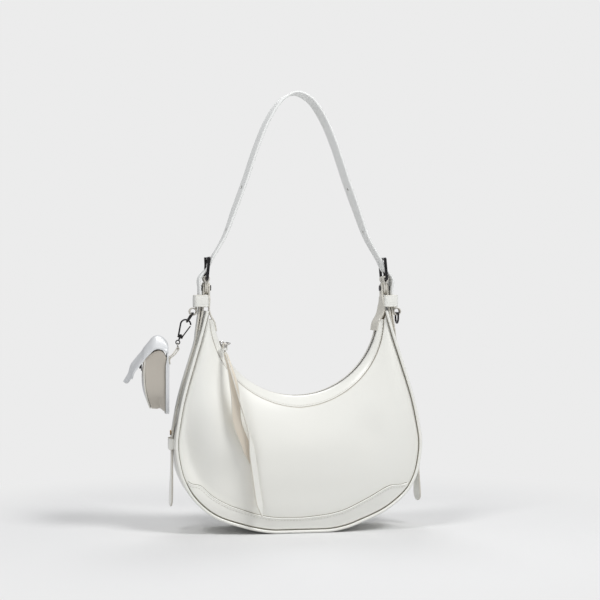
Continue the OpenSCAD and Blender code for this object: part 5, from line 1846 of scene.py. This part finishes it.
class Pouch:
    """Small flap pouch on the snap hook, built in its own frame and then turned into place."""

    def __init__(self, shop: Workshop, form: PouchForm) -> None:
        """Keep the workshop and the pouch's form.

        Args:
            shop: the workshop.
            form: the pouch's form.
        """
        self.shop, self.form = shop, form
        a = math.radians(form.turn)
        self.turn = np.array([[math.cos(a), -math.sin(a), 0], [math.sin(a), math.cos(a), 0], [0, 0, 1]])
        self.shift = np.array(form.place)
        self.rim, self.inward = form.rim()

    def build(self) -> None:
        """Make the pouch's pieces."""
        self.back()
        self.gusset()
        self.front()
        self.flap()
        self.tab()

    def piece(
        self, name: str, solid: Solid, looks: tuple, nodes: list | tuple = (), blend: tuple | None = None
    ) -> None:
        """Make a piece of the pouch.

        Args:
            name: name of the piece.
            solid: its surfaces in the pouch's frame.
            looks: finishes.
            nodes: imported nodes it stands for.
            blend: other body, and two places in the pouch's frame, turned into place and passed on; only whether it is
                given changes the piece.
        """
        if blend:
            other, *ends = blend
            blend = (other, *(tuple(self.turn @ np.array(e, float) + self.shift) for e in ends))
        solid = solid.moved(self.turn, self.shift)
        self.shop.piece(name, solid, looks, "pouch", nodes, "leather" if nodes else None, blend)

    def back(self) -> None:
        """Back with its piping: rings from the middle of the sheet out to the rim."""
        f = self.form
        t = np.linspace(math.pi, 0, 41)[1:-1]
        y = np.sign(np.cos(t)) * np.abs(np.cos(t)) ** 0.45
        loop = np.vstack([self.rim, np.column_stack([f.half_w * y, -f.shoulder_drop(y)])])
        loop = np.vstack([loop, loop[:1]])
        loop = at(loop, evenly(loop, 1.2))
        s = np.array([0.02, 0.3, 0.6, 0.85, 0.97, 1])[None, :, None]
        middle = np.array([0, -30.0])
        yz = middle + (loop[:, None] - middle) * s
        grid = [np.concatenate([np.full(yz.shape[:2] + (1,), x), yz], -1) for x in (0.0, f.leather)]
        keep = self.closed_ring(slab(grid[0], grid[1], 0.0), len(loop), 6)
        self.piece("pouch_back_leather", keep, ("pouch_white",), ["pouch_back"])
        path = self.rim - self.inward * 0.7
        count = np.arange(len(path))
        half = mix(0.5, 1.9, ease(np.minimum(count, count[::-1]) / 6))
        band = ribbon(np.column_stack([0.9 + 0 * count, path]), (1, 0, 0), half, 0.9, Section(0.2), flip=1)
        self.piece("pouch_binding", band, ("pouch_white",), ["pouch_piping"])
        # Dark cord beside the binding: painted shade in the seam between binding and back.
        path = self.rim - self.inward * 0.4
        line = tube(np.column_stack([1.2 + half, path]), np.array([1.0, 0, 0]), 0.28, 8)
        self.piece("pouch_binding_seam_shade", line, ("seam",))

    @staticmethod
    def closed_ring(sheet: Solid, rows: int, cols: int) -> Solid:
        """Close a slab whose first row meets its last one and whose first column is its middle.

        Args:
            sheet: the slab.
            rows: number of rows.
            cols: number of columns.

        Returns:
            A solid without the slab's inner walls.
        """
        count = rows * cols
        a = np.arange(count).reshape(rows, cols)[:-1]
        b = a + count
        around = [np.concatenate([m, m[:1]]) for m in (a, b)]
        faces = []
        for m, turn in zip(around, (1, -1)):
            q = np.stack([m[:-1, :-1], m[1:, :-1], m[1:, 1:], m[:-1, 1:]], -1).reshape(-1, 4)
            faces.append(q[:, ::turn])
        m, n = around[0][:, -1], around[1][:, -1]
        faces.append(np.stack([m[:-1], m[1:], n[1:], n[:-1]], -1))
        quads = np.concatenate(faces)
        used = np.unique(np.concatenate([a.ravel(), b.ravel()]))
        number = np.zeros(len(sheet.points), int)
        number[used] = np.arange(len(used))
        caps = [(number[a[::-1, 0]], 0), (number[b[:, 0]], 0)]
        return Solid(sheet.points[used], number[quads], np.zeros(len(quads), int), caps)

    def gusset(self) -> None:
        """Gusset from the back to the front: drawn in between its seams, puckered at its foot, with arched ears."""
        f = self.form
        s = np.linspace(0, 1, 21)[None]
        rim, inward = self.rim[:, None], self.inward[:, None]
        z = rim[..., 1]
        x = mix(f.leather + f.gap, f.front_x(z), s)
        bulge = 4 * s * (1 - s)
        pinch = 0.9 * bulge * ease((-z - 8) / 12)
        fold = 1.6 * np.exp(-(((s - 0.42) / 0.16) ** 2)) * ease((-z - 48) / 9)
        ear = f.ear_rise * smooth_at([e[1] for e in f.ears], np.interp(s, [e[0] for e in f.ears], range(5)))
        low = f.straight * f.height
        ear = ear * np.clip((z + low) / (low - f.shoulder), 0, 1) ** 1.5

        def grid(depth: float) -> np.ndarray:
            """Grid of points at a depth below the gusset's grain side."""
            yz = rim + inward * (0.3 + depth + pinch + fold)[..., None]
            return np.stack([x + 0 * z, yz[..., 0], yz[..., 1] + ear + s * f.foot_lift(z)], -1)

        sheet = slab(grid(0.0), grid(f.leather), 0.3)
        # The gusset's tan-grey grain finish is painted shade: the tone it shows in shade.
        self.piece("pouch_gusset_leather", sheet, ("pouch_side_shade", "edge", "back"), ["pouch_gusset"])

    def front(self) -> None:
        """Front panel, swelling by the sine of its height."""
        f = self.form
        top, foot = -f.shoulder - f.leather, -0.985 * f.height
        z = mix(top, foot, np.linspace(0, 1, 60) ** 0.7)[:, None]
        s = np.linspace(-1, 1, 41)[None]
        t = (z - top) / (foot - top)
        x = f.front_x(z) + f.gap + f.leather + f.swell * (1 - s * s) * np.sin(math.pi * t)
        grid = [np.stack(np.broadcast_arrays(x - d, f.half(z) * s, z + f.foot_lift(z)), -1) for d in (0, f.leather)]
        self.piece("pouch_front_leather", slab(grid[0], grid[1], 0.3), ("pouch_white", "edge", "back"),
                   ["pouch_front"])  # fmt: skip

    def flap(self) -> None:
        """Flap: it grows out of the back's arched top edge, bends over the ears and ends in a tongue."""
        form = self.form
        f = np.concatenate([np.linspace(0, 1, 76), 1 + 0.1 * np.linspace(0, 1, 22)[1:] ** 0.8])
        s = np.linspace(-1, 1, 45)
        line, normal = form.flap_line(f)
        run = np.minimum(f, 1)
        corner = np.clip((run - 0.84) / 0.16, 0, 1)
        width = form.half_w * smooth_at((0.985, 1.01, 1.03, 1.03, 1.02, 1.0), run * 5)
        width = width * mix(0.84, 1, np.sqrt(1 - corner**2))
        tip = (f - 1) / 0.1
        tongue = 20 * np.interp(tip, (0, 0.08, 0.2, 0.62, 0.84, 0.96, 1), (1.39, 0.62, 0.52, 0.5, 0.42, 0.28, 0.12))
        width = np.where(f > 1, tongue, width)
        across = s[None] * (width / form.half_w)[:, None]
        fade = mix(1, form.end_droop, ease((run - 0.5) / 0.5))[:, None]
        droop = mix(form.shoulder_drop(across), form.droop * fade * np.abs(across) ** 2.4, ease(f / 0.34)[:, None])
        lean = 0.3 * ease((f - 0.6) / 0.35)[:, None] * np.clip(across * form.half_w, -3, 10)
        lean = lean + 2.6 * ease((f - 0.9) / 0.12)[:, None]

        def grid(depth: float) -> np.ndarray:
            """Grid of points at a depth below the flap's grain side."""
            q = line[:, None] - normal[:, None] * (depth + lean)[..., None]
            return np.stack([q[..., 0], s[None] * width[:, None], q[..., 1] - droop], -1)

        sheet = slab(grid(0.0), grid(form.leather), 0.0)
        self.piece("pouch_flap_leather", sheet, ("pouch_white", "pouch_white", "back"), ["pouch_flap"],
                   ("flap", (1.5, 0, 0), (13, 0, 0)))  # fmt: skip

    def tab(self) -> None:
        """Folded strip round the link, sewn to the back at its foot."""
        x, z = -122.98, 186.75
        r = 1.35
        foot = [(-132.35, 171.2), (-132.2, 177.5)]
        left = smooth_path([*foot, (mix(-131.5, x - r, 0.5), 181.6), (x - r, z)], 26)
        right = smooth_path([(x + r, z), (mix(-130.6, x + r, 0.5), 180.9), (-131.1, 176.5), (-131.1, 171.2)], 26)
        path = flat_path(np.vstack([left[:-1], arc((x, z), r, 180, 0, 13), right[1:]]))
        d = path[:, 2]
        half = mix(4.5, 1.5, ease((d - 173) / 8))
        strip = ribbon(path, ACROSS, half, 1.0, Section(0.03), flip=-1)
        # The tab's beige finish is painted shade: the tan tone of shaded leather.
        self.shop.piece("pouch_tab_leather", strip, ("shade_beige", "edge", "back"), "pouch", ["pouch_tab"], "leather")


# Studio


@dataclass(frozen=True)
class Studio:
    """Pale floor, soft lamps and the camera."""

    paleness: float = 0.838
    floor_tint: float = 0.78
    floor_bounce: float = 0.71
    sky_strength: float = 0.37
    near: float = 0.24
    far: float = 0.52

    def build(self) -> None:
        """Make the studio."""
        scene = bpy.context.scene
        scene.view_settings.view_transform = "Standard"
        self.floor()
        self.sky(scene)
        self.lamp("key", (0.8, -1.1, 1.75), 0.6, 21)
        self.lamp("side", (-1.0, -0.9, 1.9), 0.6, 13)
        self.lamp("rear", (0.1, 1.2, 1.4), 0.9, 8)
        self.camera(scene)

    def floor(self) -> None:
        """Round floor: paper near the bag, and the background's own paleness away from it."""
        a = np.linspace(0, 2 * math.pi, 97)[:-1]
        points = np.column_stack([9 * np.cos(a), 9 * np.sin(a), np.full(96, -0.0003)])
        mesh = bpy.data.meshes.new("floor")
        mesh.from_pydata(points.tolist(), [], [list(range(96))])
        g = Graph("floor_paper")
        g.set(Roughness=1.0, Specular_IOR_Level=0.0)
        away = g.nodes.new("ShaderNodeVectorMath")
        away.operation = "LENGTH"
        g.links.new(g.place, away.inputs[0])
        fade = g.nodes.new("ShaderNodeMapRange")
        fade.interpolation_type = "SMOOTHSTEP"
        fade.inputs["From Min"].default_value = self.near
        fade.inputs["From Max"].default_value = self.far
        g.links.new(away.outputs["Value"], fade.inputs["Value"])
        seen, both = g.nodes.new("ShaderNodeLightPath"), g.nodes.new("ShaderNodeMath")
        tint = g.nodes.new("ShaderNodeMapRange")
        tint.inputs["To Min"].default_value = self.floor_bounce
        tint.inputs["To Max"].default_value = self.floor_tint
        g.links.new(seen.outputs["Is Camera Ray"], tint.inputs["Value"])
        g.links.new(tint.outputs["Result"], g.shader.inputs["Base Color"])
        both.operation = "MULTIPLY"
        g.links.new(fade.outputs["Result"], both.inputs[0])
        g.links.new(seen.outputs["Is Camera Ray"], both.inputs[1])
        pale, mixer = g.nodes.new("ShaderNodeEmission"), g.nodes.new("ShaderNodeMixShader")
        pale.inputs["Color"].default_value = (self.paleness,) * 3 + (1,)
        g.links.new(both.outputs["Value"], mixer.inputs["Fac"])
        g.links.new(g.shader.outputs["BSDF"], mixer.inputs[1])
        g.links.new(pale.outputs["Emission"], mixer.inputs[2])
        g.links.new(mixer.outputs["Shader"], g.nodes["Material Output"].inputs["Surface"])
        mesh.materials.append(g.material)
        obj = bpy.data.objects.new("floor", mesh)
        bpy.context.scene.collection.objects.link(obj)

    def sky(self, scene: bpy.types.Scene) -> None:
        """Even light from all round, and a plain pale background for the camera.

        Args:
            scene: the scene.
        """
        world = bpy.data.worlds.new("studio")
        world.use_nodes = True
        scene.world = world
        nodes, links = world.node_tree.nodes, world.node_tree.links
        light = nodes["Background"]
        light.inputs["Color"].default_value = (0.97, 0.98, 1.0, 1)
        light.inputs["Strength"].default_value = self.sky_strength
        seen = nodes.new("ShaderNodeBackground")
        seen.inputs["Color"].default_value = (self.paleness, self.paleness, self.paleness, 1)
        mixer, path = nodes.new("ShaderNodeMixShader"), nodes.new("ShaderNodeLightPath")
        links.new(path.outputs["Is Camera Ray"], mixer.inputs["Fac"])
        links.new(light.outputs["Background"], mixer.inputs[1])
        links.new(seen.outputs["Background"], mixer.inputs[2])
        links.new(mixer.outputs["Shader"], nodes["World Output"].inputs["Surface"])

    @staticmethod
    def lamp(name: str, place: tuple, size: float, power: int) -> None:
        """Square lamp that looks at the middle of the bag.

        Args:
            name: name of the lamp.
            place: where it stands, in metres.
            size: side of the lamp in metres.
            power: watts.
        """
        data = bpy.data.lights.new(name, "AREA")
        data.shape, data.size, data.energy = "SQUARE", size, power
        obj = bpy.data.objects.new(name, data)
        aim = np.array([0, 0, 0.14]) - np.array(place)
        flat = math.hypot(aim[0], aim[1])
        obj.location = place
        obj.rotation_euler = (math.pi / 2 + math.atan2(aim[2], flat), 0, math.atan2(aim[1], aim[0]) - math.pi / 2)
        bpy.context.scene.collection.objects.link(obj)

    @staticmethod
    def camera(scene: bpy.types.Scene) -> None:
        """Level camera, ten degrees to the left of the bag's front.

        Args:
            scene: the scene.
        """
        data = bpy.data.cameras.new("camera")
        data.sensor_width, data.lens, data.clip_start, data.clip_end = 36.0, 86.5, 0.05, 50.0
        obj = bpy.data.objects.new("camera", data)
        obj.location = (-0.2563, -1.4779, 0.237)
        obj.rotation_euler = (math.pi / 2, 0, math.radians(-10))
        scene.collection.objects.link(obj)
        scene.camera = obj


def build() -> None:
    """Make every piece in order, then the studio."""
    shop = Workshop(Finishes())
    form, tip = BodyForm(), TipForm()
    Body(shop, form).build()
    Crown(shop, form).build()
    Tips(shop, form, tip).build()
    Belts(shop, form, tip).build()
    Strap(shop, tip).build()
    Pull(shop).build()
    Pouch(shop, PouchForm()).build()
    shop.metal("gunmetal", "snap_stud", "left_dee_ring", "right_dee_ring", "left_buckle", "right_buckle", "left_prong",
               "right_prong", "left_rivet", "right_rivet", "hook_frame", "hook_gate", "hook_swivel", "snap_cap")  # fmt: skip
    shop.metal("nickel", "zip_slider", "pull_ring", "pouch_link")
    shop.metal("teeth", "front_zip_teeth", "rear_zip_teeth", "zip_stops")
    shop.metal("brass", "belt_studs")
    Studio().build()


if __name__ == "__main__":
    logging.basicConfig(level=logging.INFO)
    build()
    bpy.context.view_layer.update()
